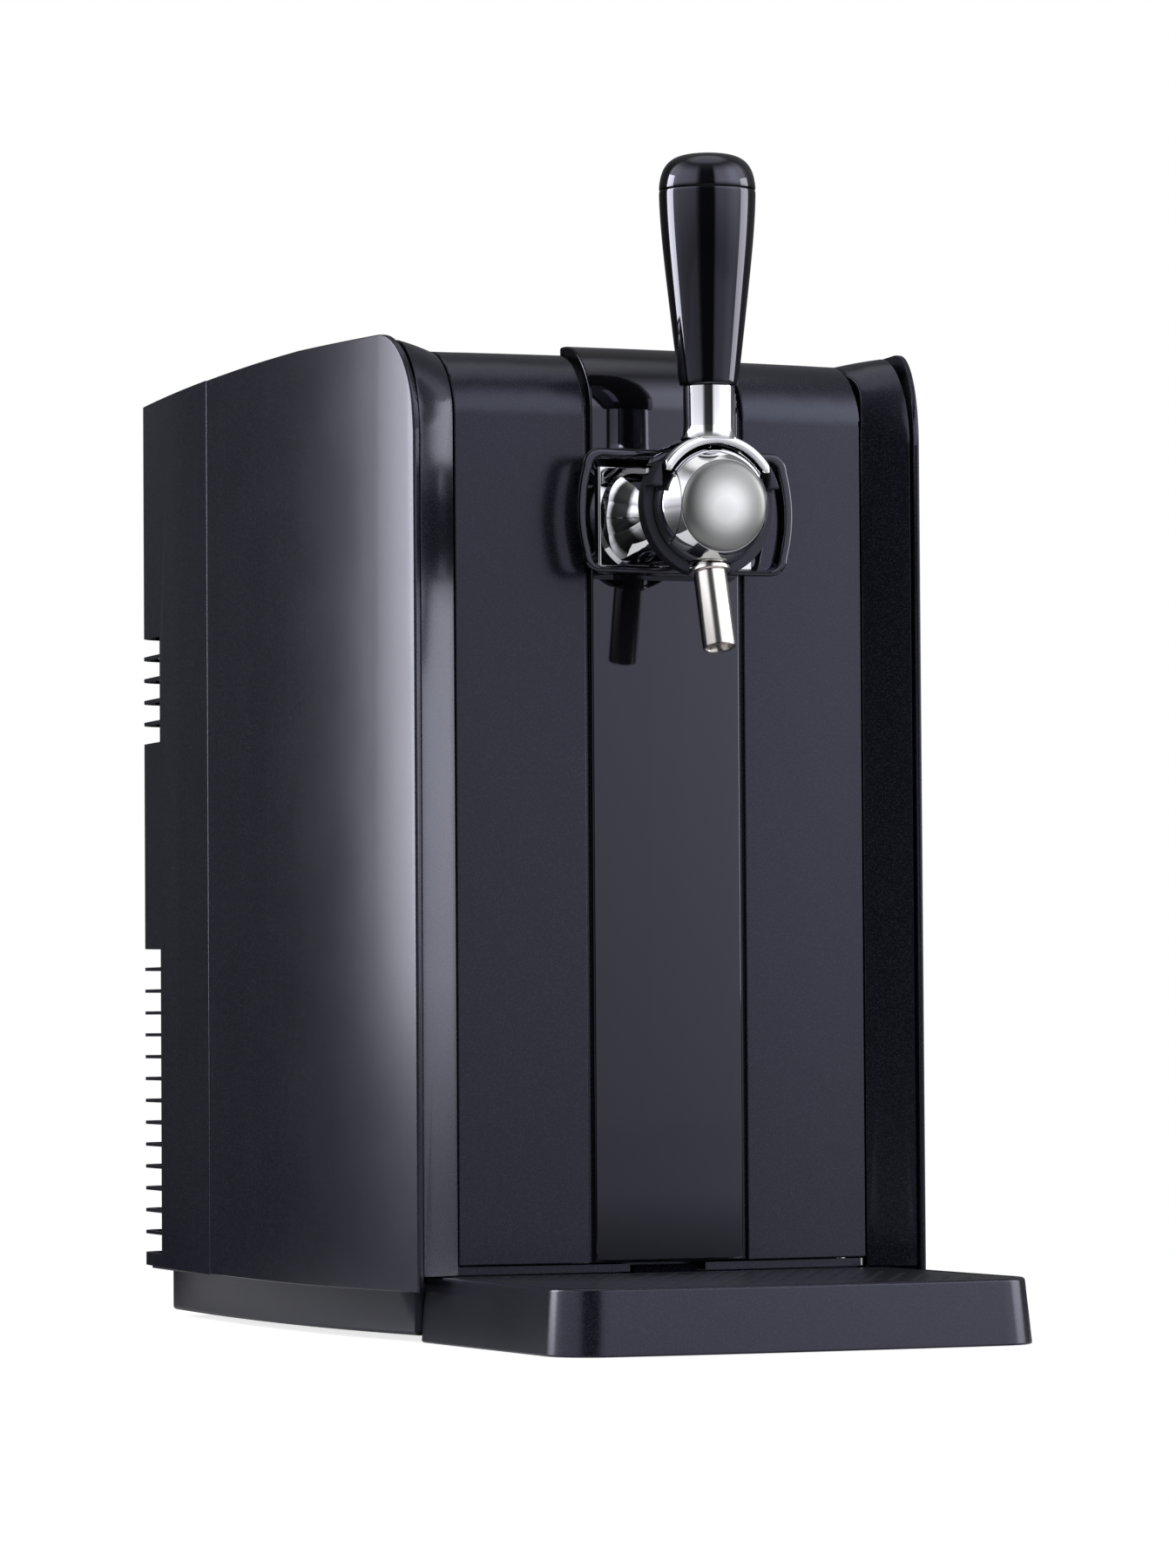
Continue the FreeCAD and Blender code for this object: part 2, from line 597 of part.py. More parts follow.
def make_chamber_liner():
    """Smooth inner skin of the cold chamber: back, sides, floor and roof."""
    outer = chamber_block(LINER, FRAME_BACK_Y, CHAMBER_FLOOR - LINER, CHAMBER_ROOF + LINER)
    inner = chamber_block(0, FRAME_BACK_Y - 5, CHAMBER_FLOOR, CHAMBER_ROOF)
    return one_solid(outer.cut(inner).cut(nozzle_pipe(NOZZLE_R)))


def make_insulation_jacket():
    """Foam round the chamber liner."""
    outer = chamber_block(LINER + INSULATION, FRAME_BACK_Y, DECK_TOP, BULKHEAD_TOP)
    inner = chamber_block(LINER, FRAME_BACK_Y - 5, CHAMBER_FLOOR - LINER, CHAMBER_ROOF + LINER)
    jacket = outer.cut(inner).cut(cold_plate_block(0.3)).cut(nozzle_pipe(NOZZLE_R)).cut(sensor_rod())
    return one_solid(jacket)


def make_chamber_frame():
    """Frame round the mouth of the chamber, with the land that the door's seal meets."""
    mouth = box(-CHAMBER_R, CHAMBER_R, -FAR, FAR, CHAMBER_FLOOR, CHAMBER_ROOF)
    top = COVER_TOP - COVER_WALL
    land_x = CHEEK_INNER_X - 0.3
    land = box(-land_x, land_x, FRAME_FRONT_Y, FRAME_STEP_Y, DECK_TOP, top)
    flange_x = CHEEK_OUTER_X - 1
    flange = box(-flange_x, flange_x, FRAME_STEP_Y, FRAME_BACK_Y, DECK_TOP, top)
    land = land.fuse(flange)
    frame = land.removeSplitter().cut(mouth)
    return one_solid(frame.cut(upper_hinge_leaf(0.0)))


def make_keg_seat():
    """Ring on the chamber floor that the keg stands on."""
    start = Vector(0, CHAMBER_Y, CHAMBER_FLOOR)
    return tube(KEG_SEAT_R, KEG_SEAT_R - 18, start, AXIS_Z, KEG_SEAT_HEIGHT)


def sensor_rod():
    """Pocket and body of the temperature probe behind the liner."""
    probe_r = 2.5
    return rod(probe_r, Vector(0, CHAMBER_Y + CHAMBER_R + LINER + probe_r, 165), AXIS_Z, 22)


# ---------------------------------------------------------------- cooling unit
def cold_plate_block(clear):
    """Block between the liner and the bulkhead, larger by clear on its four sides."""
    half = COLD_PLATE_HALF + clear
    half_height = COLD_PLATE_HALF_HEIGHT + clear
    block = box(-half, half, CHAMBER_Y + 60, PELTIER_Y, COOLER_Z - half_height, COOLER_Z + half_height)
    return block.cut(rod(CHAMBER_R + LINER, Vector(0, CHAMBER_Y, 0), AXIS_Z, FAR))


def make_bulkhead():
    """Plate on the deck behind the chamber that carries the cooler and the electrics."""
    plate = box(-BULKHEAD_HALF_WIDTH, BULKHEAD_HALF_WIDTH, BULKHEAD_Y, PELTIER_Y, DECK_TOP, BULKHEAD_TOP)
    return one_solid(plate.cut(cold_plate_block(0.3)).cut(nozzle_pipe(NOZZLE_R)))


def make_heat_sink():
    """Finned heat sink on the hot side of the cooling module."""
    low, high = COOLER_Z - SINK_HALF, COOLER_Z + SINK_HALF
    base = box(-SINK_HALF, SINK_HALF, SINK_Y, SINK_Y + SINK_BASE, low, high)
    pitch = (2 * SINK_HALF - SINK_FIN) / (SINK_FINS - 1)
    fins = [box(-SINK_HALF + pitch * i, -SINK_HALF + pitch * i + SINK_FIN, SINK_Y + SINK_BASE - 0.5,
                SINK_Y + SINK_DEPTH, low, high) for i in range(SINK_FINS)]
    return one_solid(joined([base] + fins))


def fan_screw_places():
    """Corner holes of the fan, as (x, z)."""
    return [(sx * 41.25, COOLER_Z + sz * 41.25) for sx in (-1, 1) for sz in (-1, 1)]


def make_fan_frame():
    """Square fan housing with a motor hub on four struts and the fixed axle."""
    block = box(-FAN_HALF, FAN_HALF, FAN_Y, FAN_Y + FAN_DEPTH, COOLER_Z - FAN_HALF, COOLER_Z + FAN_HALF)
    centre = Vector(0, FAN_Y, COOLER_Z)
    duct = rod(FAN_DUCT_R, centre - AXIS_Y, AXIS_Y, FAN_DEPTH + 2)
    frame = block.cut(duct)
    back_y = FAN_Y + FAN_DEPTH - 4
    pieces = [frame, rod(FAN_HUB_R, Vector(0, back_y, COOLER_Z), AXIS_Y, 4),
              rod(2.0, Vector(0, FAN_Y + 4, COOLER_Z), AXIS_Y, FAN_DEPTH - 5)]
    for turn in (45, 135, 225, 315):
        strut = box(FAN_HUB_R - 2, FAN_DUCT_R + 2, back_y, back_y + 3, COOLER_Z - 1.5, COOLER_Z + 1.5)
        strut.rotate(centre, AXIS_Y, turn)
        pieces.append(strut)
    frame = joined(pieces)
    for x, z in fan_screw_places():
        frame = frame.cut(rod(2.0, Vector(x, FAN_Y - 1, z), AXIS_Y, FAN_DEPTH + 2))
    return one_solid(frame)


def make_fan_screws():
    """Four long screws through the fan into the heat sink."""
    screws = []
    for x, z in fan_screw_places():
        shank = rod(1.9, Vector(x, FAN_Y, z), AXIS_Y, FAN_DEPTH)
        screws.append(joined([shank, rod(3.4, Vector(x, FAN_Y + FAN_DEPTH, z), AXIS_Y, 2.2)]))
    return group(screws)


def make_fan_rotor():
    """Hub and blades of the fan, running on the fixed axle."""
    start = Vector(0, FAN_Y + 2, COOLER_Z)
    hub = rod(FAN_HUB_R - 1, start, AXIS_Y, FAN_DEPTH - 7.5)
    pieces = [hub]
    for i in range(FAN_BLADES):
        blade = box(FAN_HUB_R - 3, FAN_DUCT_R - 2.5, -0.8, 0.8, -9.5, 9.5)
        blade.rotate(Vector(0, 0, 0), AXIS_X, 52)
        blade.translate(Vector(0, FAN_Y + 2 + (FAN_DEPTH - 7.5) / 2, COOLER_Z))
        blade.rotate(start, AXIS_Y, 360.0 / FAN_BLADES * i)
        pieces.append(blade)
    rotor = joined(pieces).cut(rod(2.0 + HINGE_CLEARANCE, start - AXIS_Y * 3, AXIS_Y, FAN_DEPTH + 6))
    return one_solid(rotor)


# ---------------------------------------------------------------- electrics and air
def make_power_supply():
    """Closed power supply on the bulkhead, with a flange at each end."""
    body = box(-62, 62, PELTIER_Y, PELTIER_Y + 42, 184, 244)
    flange = box(-72, 72, PELTIER_Y, PELTIER_Y + 2, 190, 238)
    vents = [box(-50 + 10 * i, -46 + 10 * i, PELTIER_Y + 40, PELTIER_Y + 45, 192, 236) for i in range(10)]
    return one_solid(joined([body, flange]).cut(vents[0].multiFuse(vents[1:])))


def make_board_standoffs():
    """Four pillars for the control board."""
    places = [(x, z) for x in (-52, 52) for z in (268, 336)]
    return group([rod(3.0, Vector(x, PELTIER_Y, z), AXIS_Y, 9) for x, z in places])


def make_control_board():
    """Control board with its larger parts."""
    y = PELTIER_Y + 9
    pieces = [box(-60, 60, y, y + 1.6, 260, 344)]
    pieces += [box(-50 + 18 * i, -40 + 18 * i, y + 1, y + 10, 264, 272) for i in range(5)]
    pieces += [rod(6.0, Vector(-36 + 17 * i, y + 1, 320), AXIS_Y, 18) for i in range(3)]
    pieces.append(box(10, 40, y + 1, y + 4, 292, 312))
    return one_solid(joined(pieces))


def make_air_pump():
    """Small diaphragm pump: motor, head and outlet stub, on a saddle fixed to the bulkhead."""
    centre = Vector(0, PUMP_Y, PUMP_Z)
    motor = rod(15.5, centre - AXIS_X * 16, AXIS_X, 58)
    head = box(-40, -15, PUMP_Y - 15, PUMP_Y + 15, PUMP_Z - 15, PUMP_Z + 15)
    saddle = box(-34, 38, PELTIER_Y, PUMP_Y - 8, PUMP_Z - 13, PUMP_Z + 13)
    stub = rod(2.0, centre - AXIS_X * 52, AXIS_X, 14)
    return one_solid(joined([motor, head, saddle, stub]))


def make_air_hose():
    """Soft hose from the pump's stub round one bend to the pipe into the chamber."""
    bend = 14.0
    start = Vector(-42, PUMP_Y, PUMP_Z)
    turn = Vector(NOZZLE_X + bend, PUMP_Y, PUMP_Z)
    centre = turn - AXIS_Y * bend
    middle = centre + Vector(-1, 1, 0).normalize() * bend
    after = Vector(NOZZLE_X, PUMP_Y - bend, PUMP_Z)
    path = Part.Wire([line(start, turn), arc(turn, middle, after),
                      line(after, after - AXIS_Y * 1.5)])
    ring = Part.Wire([Part.Circle(start, AXIS_X, HOSE_R).toShape()])
    hose = path.makePipeShell([ring], True, False)
    bore = rod(2.0, start - AXIS_X * 10.0, AXIS_X, 12)
    return one_solid(hose.cut(bore))


def make_air_nozzle():
    """Pipe that takes the air through the chamber wall, with a hose barb at its inner end."""
    end_y = PUMP_Y - 14.0 - 1.5
    length = end_y - NOZZLE_Y
    start = Vector(NOZZLE_X, NOZZLE_Y, PUMP_Z)
    pipe = rod(NOZZLE_R, start, AXIS_Y, length)
    barb = Part.makeCone(3.0, 4.8, 5.0, start, AXIS_Y)
    return one_solid(joined([pipe, barb]).cut(rod(2.0, start - AXIS_Y, AXIS_Y, length + 5)))


def make_power_inlet():
    """Appliance inlet in the rear cover, with three contact pins in its socket."""
    flange = socket_block(INLET_X, INLET_HALF_WIDTH, 0.0)
    body = box(INLET_X - 14, INLET_X + 14, REAR_Y - 24, REAR_Y - 2, SOCKET_Z - 10, SOCKET_Z + 10)
    socket = box(INLET_X - 12, INLET_X + 12, REAR_Y - 18, REAR_Y + 1, SOCKET_Z - 8, SOCKET_Z + 8)
    inlet = joined([flange, body]).cut(socket)
    pins = []
    for dx, dz in ((-7, -2), (7, -2), (0, 2)):
        low = SOCKET_Z + dz - 2
        pins.append(box(INLET_X + dx - 1, INLET_X + dx + 1, REAR_Y - 19, REAR_Y - 7, low, low + 4))
    return one_solid(joined([inlet] + pins))


def make_switch_body():
    """Housing of the mains switch."""
    flange = socket_block(SWITCH_X, SWITCH_HALF_WIDTH, 0.0)
    body = box(SWITCH_X - 7.5, SWITCH_X + 7.5, REAR_Y - 20, REAR_Y - 2, SOCKET_Z - 11.5, SOCKET_Z + 11.5)
    well = box(SWITCH_X - 5.6, SWITCH_X + 5.6, REAR_Y - 14, REAR_Y + 1, SOCKET_Z - 9.6, SOCKET_Z + 9.6)
    pivot = rod(1.55, Vector(SWITCH_X - 7, REAR_Y - 6, SOCKET_Z), AXIS_X, 14)
    return one_solid(joined([flange, body]).cut(well).cut(pivot))


def make_switch_rocker():
    """Rocker of the mains switch: two faces that meet at its middle, on pivot stubs."""
    y0 = REAR_Y - 11
    side = [(y0, -4), (REAR_Y - 2.6, -8.8), (REAR_Y - 1.0, -8.8), (REAR_Y - 2.4, 0), (REAR_Y - 0.2, 8.55),
            (REAR_Y - 2.6, 9.0), (y0, 4)]
    points = [Vector(-5.2, y, z) for y, z in side]
    rocker = prism(points, Vector(10.4, 0, 0))
    stubs = rod(1.5, Vector(-6.9, REAR_Y - 6, 0), AXIS_X, 13.8)
    rocker = joined([rocker, stubs])
    rocker.translate(Vector(SWITCH_X, 0, SOCKET_Z))
    return one_solid(rocker)


def make_cover_posts():
    """Pillars from the bulkhead to the rear cover."""
    length = REAR_Y - SKIN - PELTIER_Y
    return group([rod(5.0, Vector(x, PELTIER_Y, z), AXIS_Y, length).cut(
        rod(1.6, Vector(x, REAR_Y - 22, z), AXIS_Y, 30)) for x, z in post_places()])


def make_rear_screws():
    """Screws of the rear cover."""
    return group([joined([rod(1.6, Vector(x, REAR_Y - 16, z), AXIS_Y, 15),
                          rod(3.5, Vector(x, REAR_Y - 1.4, z), AXIS_Y, 1.2)]) for x, z in post_places()])


def display_seat():
    """Bottom of the display's well in the top cover."""
    return COVER_TOP - COVER_WALL


def make_display_window():
    """Clear window let into the top cover over the display."""
    return box(-DISPLAY_HALF_WIDTH + 0.1, DISPLAY_HALF_WIDTH - 0.1, DISPLAY_Y - DISPLAY_HALF_DEPTH + 0.1,
               DISPLAY_Y + DISPLAY_HALF_DEPTH - 0.1, display_seat(), COVER_TOP + 0.2)


def make_display_board():
    """Display and its board, held under the window."""
    edge = 4.0
    board = box(-DISPLAY_HALF_WIDTH - edge, DISPLAY_HALF_WIDTH + edge, DISPLAY_Y - DISPLAY_HALF_DEPTH - edge,
                DISPLAY_Y + DISPLAY_HALF_DEPTH + edge, display_seat() - 5.1, display_seat() - 3.5)
    screen = box(-DISPLAY_HALF_WIDTH + 3, DISPLAY_HALF_WIDTH - 3, DISPLAY_Y - DISPLAY_HALF_DEPTH + 3,
                 DISPLAY_Y + DISPLAY_HALF_DEPTH - 3, display_seat() - 4, display_seat())
    return one_solid(joined([board, screen]))


# ---------------------------------------------------------------- door
def door_block(grow, rise, side, low, back_y):
    """The door's outer form: bowed front with a rounded top edge, its faces moved out by grow."""
    deep_y = 0.0
    top = COVER_TOP + rise
    radius = DOOR_NOSE_R + grow
    front = [Vector(-side, door_front_y(side, grow), low), Vector(0, door_front_y(0, grow), low),
             Vector(side, door_front_y(side, grow), low)]
    edges = [arc(front[0], front[1], front[2]), line(front[2], Vector(side, deep_y, low)),
             line(Vector(side, deep_y, low), Vector(-side, deep_y, low)),
             line(Vector(-side, deep_y, low), front[0])]
    block = drawn(edges, Vector(0, 0, top - low))
    bounds = [(edge, edge.BoundBox) for edge in block.Edges]
    nose_y = DOOR_FRONT_Y + DOOR_NOSE_R + 1
    nose = [edge for edge, b in bounds if b.ZMin > top - 0.01 and b.YMax < nose_y and b.XLength > side]
    block = block.makeFillet(radius, nose)
    return block.common(box(-FAR, FAR, -FAR, back_y, low, FAR))


def strip_band(half_width):
    """The middle band of the door's width."""
    return box(-half_width, half_width, -FAR, FAR, -10, FAR)


def line_passage(radius):
    """Straight way for the beer line from the chamber through the door."""
    return rod(radius, Vector(0, BALL_Y, TAP_Z), AXIS_Y, 100)


def hinge_bore(low, high):
    """Running bore for the hinge pins."""
    return rod(HINGE_PIN_R + HINGE_CLEARANCE, Vector(HINGE_X, HINGE_Y, low), AXIS_Z, high - low)


def bush_block(low, high):
    """Block in the door that a hinge pin turns in."""
    return box(HINGE_X - 7, DOOR_HALF_WIDTH - DOOR_SKIN, HINGE_Y - 8, HINGE_Y + 9, low, high)


def magnet_block():
    """Place of the magnet inside the left edge of the door."""
    return box(-DOOR_HALF_WIDTH + DOOR_SKIN, -DOOR_HALF_WIDTH + DOOR_SKIN + 6, -77, -67, 190, 230)


def hinge_pocket():
    """Room in the upper corner of the door for the fixed hinge arm to turn in."""
    reach = HINGE_EYE_R + 0.5
    top = HINGE_UPPER_Z + HINGE_PLATE + 0.8
    return box(HINGE_X - reach, FAR, HINGE_Y - reach, FAR, HINGE_UPPER_Z - 0.9, top)


def door_cavity():
    """Space inside the door's skin."""
    inner_half = DOOR_HALF_WIDTH - DOOR_SKIN
    thin = door_block(-DOOR_SKIN, -DOOR_SKIN, inner_half, DOOR_BOTTOM + DOOR_SKIN, DOOR_BACK_Y)
    depth = STRIP_THICK - STRIP_PROUD + DOOR_SKIN
    backing = strip_band(STRIP_HALF_WIDTH + STRIP_GROOVE + DOOR_SKIN).cut(
        door_block(-depth, -depth, DOOR_HALF_WIDTH, 0, DOOR_BACK_Y))
    return thin.cut(backing)


def make_door_shell():
    """Outer skin of the door, with the channel for the middle strip."""
    outer = door_block(0, 0, DOOR_HALF_WIDTH, DOOR_BOTTOM, DOOR_BACK_Y)
    floor = STRIP_THICK - STRIP_PROUD
    channel = strip_band(STRIP_HALF_WIDTH + STRIP_GROOVE).cut(
        door_block(-floor, -floor, DOOR_HALF_WIDTH, -20, DOOR_BACK_Y + 5))
    shell = outer.cut(door_cavity()).cut(channel)
    shell = shell.cut(hinge_pocket()).cut(line_passage(SLIDER_BORE_R))
    shell = shell.cut(hinge_bore(0, DOOR_BOTTOM + 20)).cut(hinge_bore(UPPER_BUSH_LOW, HINGE_UPPER_Z + 1))
    return one_solid(shell)


def make_centre_strip():
    """High-gloss strip down the middle of the door and over its top edge."""
    floor = STRIP_THICK - STRIP_PROUD
    strip = door_block(STRIP_PROUD, STRIP_TOP_RISE, DOOR_HALF_WIDTH, STRIP_BOTTOM, DOOR_BACK_Y)
    strip = strip.common(strip_band(STRIP_HALF_WIDTH)).cut(
        door_block(-floor, -floor, DOOR_HALF_WIDTH, -20, DOOR_BACK_Y + 5))
    return one_solid(strip.cut(line_passage(SLIDER_BORE_R)))


def make_door_foam():
    """Insulation inside the door."""
    foam = door_cavity().common(box(-FAR, FAR, -FAR, DOOR_BACK_Y - DOOR_LINER, 0, DOOR_INNER_TOP))
    foam = foam.cut(bush_block(DOOR_BOTTOM, LOWER_BUSH_HIGH)).cut(magnet_block())
    foam = foam.cut(bush_block(UPPER_BUSH_LOW, DOOR_INNER_TOP + 1))
    return one_solid(foam.cut(line_passage(SLIDER_BORE_R)))


def make_door_liner():
    """Flat inner face of the door."""
    half = DOOR_HALF_WIDTH - DOOR_SKIN
    face = box(-half, half, DOOR_BACK_Y - DOOR_LINER, DOOR_BACK_Y, DOOR_BOTTOM + DOOR_SKIN, DOOR_INNER_TOP)
    return one_solid(face.cut(line_passage(SLIDER_BORE_R)))


def make_door_gasket():
    """Rubber seal on the inner face of the door, round the mouth of the chamber."""
    half = GASKET_OUTER_X
    outer = box(-half, half, DOOR_BACK_Y, DOOR_BACK_Y + GASKET_DEPTH, GASKET_LOW, GASKET_HIGH)
    inner = box(-half + GASKET_WIDTH, half - GASKET_WIDTH, -FAR, FAR,
                GASKET_LOW + GASKET_WIDTH, GASKET_HIGH - GASKET_WIDTH)
    seal = outer.cut(inner)
    rear = [e for e in seal.Edges if e.BoundBox.YMin > DOOR_BACK_Y + GASKET_DEPTH - 0.01]
    return seal.makeFillet(GASKET_WIDTH / 2 - 0.25, rear)


def make_door_bushes():
    """Two bearing blocks for the hinge pins."""
    pin = hinge_bore(0, FAR)
    room = door_cavity()
    lower = bush_block(DOOR_BOTTOM + DOOR_SKIN, LOWER_BUSH_HIGH).common(room).cut(pin)
    upper = bush_block(UPPER_BUSH_LOW, DOOR_INNER_TOP).common(room).cut(pin)
    return group([lower, upper])


def hinge_leaf(low, high):
    """Outline of the lower hinge plate."""
    return box(HINGE_X - 9, CHEEK_INNER_X - 1.2, HINGE_Y - 4, HINGE_Y + 16, low, high)


def upper_hinge_leaf(clear):
    """Arm of the upper hinge, from the chamber frame to over the pin."""
    half = HINGE_ARM_HALF + clear
    return box(HINGE_X - half, HINGE_X + half, HINGE_Y, FRAME_STEP_Y + 1, HINGE_UPPER_Z - clear,
               HINGE_UPPER_Z + HINGE_PLATE + clear)


def make_lower_hinge():
    """Plate in the sill with the pin that carries the door."""
    plate = hinge_leaf(SILL_TOP - HINGE_PLATE, SILL_TOP)
    pin = rod(HINGE_PIN_R, Vector(HINGE_X, HINGE_Y, SILL_TOP - HINGE_PLATE), AXIS_Z,
              DOOR_BOTTOM + HINGE_PIN_REACH - SILL_TOP + HINGE_PLATE)
    return one_solid(joined([plate, pin]))


def make_upper_hinge():
    """Arm from the chamber frame with a pin that points down into the door."""
    pin = rod(HINGE_PIN_R, Vector(HINGE_X, HINGE_Y, HINGE_UPPER_Z - HINGE_PIN_REACH), AXIS_Z,
              HINGE_PIN_REACH + HINGE_PLATE)
    end = rod(HINGE_EYE_R, Vector(HINGE_X, HINGE_Y, HINGE_UPPER_Z), AXIS_Z, HINGE_PLATE)
    return one_solid(joined([upper_hinge_leaf(0.0), end, pin]))


# ---------------------------------------------------------------- tap
def rounded_outline(y, half_width, low, high, corner, bow):
    """Closed outline in a plane across Y: straight top and bottom, bowed sides and round corners."""
    mid = (low + high) / 2
    c = corner
    k = corner * (1 - math.sqrt(0.5))
    inner = half_width - bow
    right = [Vector(inner - c, y, low), Vector(inner - k, y, low + k), Vector(inner, y, low + c),
             Vector(half_width, y, mid), Vector(inner, y, high - c), Vector(inner - k, y, high - k),
             Vector(inner - c, y, high)]
    left = [Vector(-p.x, y, p.z) for p in right]
    return Part.Wire([arc(right[0], right[1], right[2]), arc(right[2], right[3], right[4]),
                      arc(right[4], right[5], right[6]), line(right[6], left[6]),
                      arc(left[6], left[5], left[4]), arc(left[4], left[3], left[2]),
                      arc(left[2], left[1], left[0]), line(left[0], right[0])])


def make_tap_surround():
    """Black surround that flares out from the door and frames the chrome plate."""
    deep_y = DOOR_FRONT_Y + 12
    lip = SURROUND_LIP
    front = rounded_outline(SURROUND_FRONT_Y, SURROUND_HALF_WIDTH - lip, SURROUND_LOW + lip,
                            SURROUND_HIGH - lip, SURROUND_CORNER_R - lip, SURROUND_SIDE_BOW)
    edge = rounded_outline(SURROUND_FRONT_Y + lip, SURROUND_HALF_WIDTH, SURROUND_LOW, SURROUND_HIGH,
                           SURROUND_CORNER_R, SURROUND_SIDE_BOW)
    back = rounded_outline(deep_y, SURROUND_BACK_HALF_WIDTH - 6, SURROUND_LOW + 1, SURROUND_HIGH - 1,
                           SURROUND_CORNER_R, SURROUND_SIDE_BOW)
    body = joined([Part.makeLoft([front, edge], True, True), Part.makeLoft([edge, back], True, True)])
    rim = SURROUND_RIM
    mouth = rounded_outline(SURROUND_FRONT_Y, SURROUND_HALF_WIDTH - rim, SURROUND_LOW + 2.2,
                            SURROUND_HIGH - 3.6, SURROUND_CORNER_R - 2.5, SURROUND_SIDE_BOW)
    recess = Part.Face(mouth).extrude(Vector(0, PLATE_FRONT_Y + PLATE_THICK - SURROUND_FRONT_Y, 0))
    body = body.cut(recess)
    outer = door_block(0, 0, DOOR_HALF_WIDTH, 200, DOOR_BACK_Y)
    middle = door_block(STRIP_PROUD, STRIP_TOP_RISE, DOOR_HALF_WIDTH, 200, DOOR_BACK_Y)
    middle = middle.common(strip_band(STRIP_HALF_WIDTH + 0.1))
    return one_solid(body.cut(outer).cut(middle).cut(line_passage(SLIDER_BORE_R)))


def make_tap_plate():
    """Chrome plate of the tap, seated in the surround."""
    plate = box(-PLATE_HALF_WIDTH, PLATE_HALF_WIDTH, PLATE_FRONT_Y, PLATE_FRONT_Y + PLATE_THICK,
                PLATE_LOW, PLATE_HIGH)
    edges = [e for e in plate.Edges if e.BoundBox.YMax < PLATE_FRONT_Y + 0.01 or
             e.BoundBox.YLength > PLATE_THICK - 0.01]
    return plate.makeFillet(0.9, edges).cut(line_passage(SLIDER_BORE_R))


def neck_solid():
    """Trumpet between the plate and the ball, ending in a flange, bored for the slider."""
    waist = NECK_WAIST_R
    waist_y = PLATE_FRONT_Y - 13.5
    sections = [rounded_outline(PLATE_FRONT_Y, NECK_HALF_WIDTH, PLATE_LOW + 1.4, PLATE_HIGH - 3.0, 12.0, 1.0),
                rounded_outline(PLATE_FRONT_Y - 4.5, NECK_HALF_WIDTH * 0.7, PLATE_LOW + 4.6, PLATE_HIGH - 4.0,
                                13.0, 1.0),
                rounded_outline(waist_y, waist, TAP_Z - waist, TAP_Z + waist, waist - 0.6, 0.3)]
    trumpet = Part.makeLoft(sections, True, False)
    outline = [(waist_y + 1, 0), (waist_y + 1, waist - 0.8), (waist_y, waist - 0.3),
               (RING_BACK_Y + 5, waist + 1), (RING_BACK_Y + 2, FLANGE_R - 1.6), (RING_BACK_Y, FLANGE_R),
               (RING_BACK_Y, 0)]
    end = turned([Vector(0, y, TAP_Z + r) for y, r in outline], BALL_CENTRE, AXIS_Y)
    toe_room = box(-LEVER_HALF_THICK - 0.6, LEVER_HALF_THICK + 0.6, RING_BACK_Y - 1, BALL_Y + 8.4,
                   TAP_Z - 9, TAP_Z + 6)
    body = joined([trumpet, end]).cut(lever_slot()).cut(toe_room)
    return body.cut(line_passage(SLIDER_BORE_R)).cut(spout_rod(SPOUT_R + 0.3, 20))


def make_tap_neck(upper):
    """Upper or lower half of the split neck."""
    gap = 0.25
    if upper:
        return one_solid(neck_solid().common(box(-FAR, FAR, -FAR, 0, NECK_SEAM_Z + gap, FAR)))
    return one_solid(neck_solid().common(box(-FAR, FAR, -FAR, 0, 0, NECK_SEAM_Z)))


def spout_rod(radius, extra=0.0):
    """A rod on the spout's axis from its open end upwards."""
    return rod(radius, SPOUT_END, SPOUT_AXIS * -1, SPOUT_LENGTH + extra)


def make_tap_ring():
    """Dark ring round the ball, in two pieces: open at the top for the lever and below for the spout."""
    front_y = RING_FRONT_Y - HOOK_LENGTH
    whole = rod(RING_R, Vector(0, front_y, TAP_Z), AXIS_Y, RING_BACK_Y - front_y)
    top = YOKE_BOTTOM - 1.3
    ring = whole.common(box(-FAR, FAR, RING_FRONT_Y, RING_BACK_Y, 0, top))
    hook = whole.common(box(YOKE_HALF_WIDTH + 0.7, FAR, front_y, RING_FRONT_Y + 2.0, top - 5.0, top + 5.6))
    ring = joined([ring, hook, mirrored(hook)]).cut(ball(BALL_R, BALL_CENTRE))
    return group([ring.cut(spout_rod(COLLAR_R + 0.3, 20))])


def ball_point(angle, radius):
    """Point in the tap's middle plane, by its angle from straight up towards the front."""
    turn = math.radians(angle)
    return Vector(0, BALL_Y - radius * math.sin(turn), TAP_Z + radius * math.cos(turn))


def lever_slot():
    """Slot in the top of the ball for the lever's blade, over its whole travel."""
    reach = BALL_R * 1.4
    back = BLADE_BACK - 1.4
    front = BLADE_FRONT + LEVER_TRAVEL + 1.2
    points = [BALL_CENTRE] + [ball_point(a, reach) for a in (back, (back + front) / 2, front)]
    wedge = prism(points, Vector(2 * LEVER_HALF_THICK + 0.8, 0, 0))
    wedge.translate(Vector(-LEVER_HALF_THICK - 0.4, 0, 0))
    return wedge


def ball_hollow():
    """Inside of the ball."""
    return ball(BALL_R - BALL_WALL, BALL_CENTRE)


def ear_grooves():
    """Fine grooves round both sides of the ball."""
    slab = box(EAR_X, EAR_X + 0.35, -FAR, RING_FRONT_Y, 0, FAR)
    grooves = joined([slab, mirrored(slab)])
    return grooves.common(ball(BALL_R + 1, BALL_CENTRE)).cut(ball(BALL_R - 0.45, BALL_CENTRE))


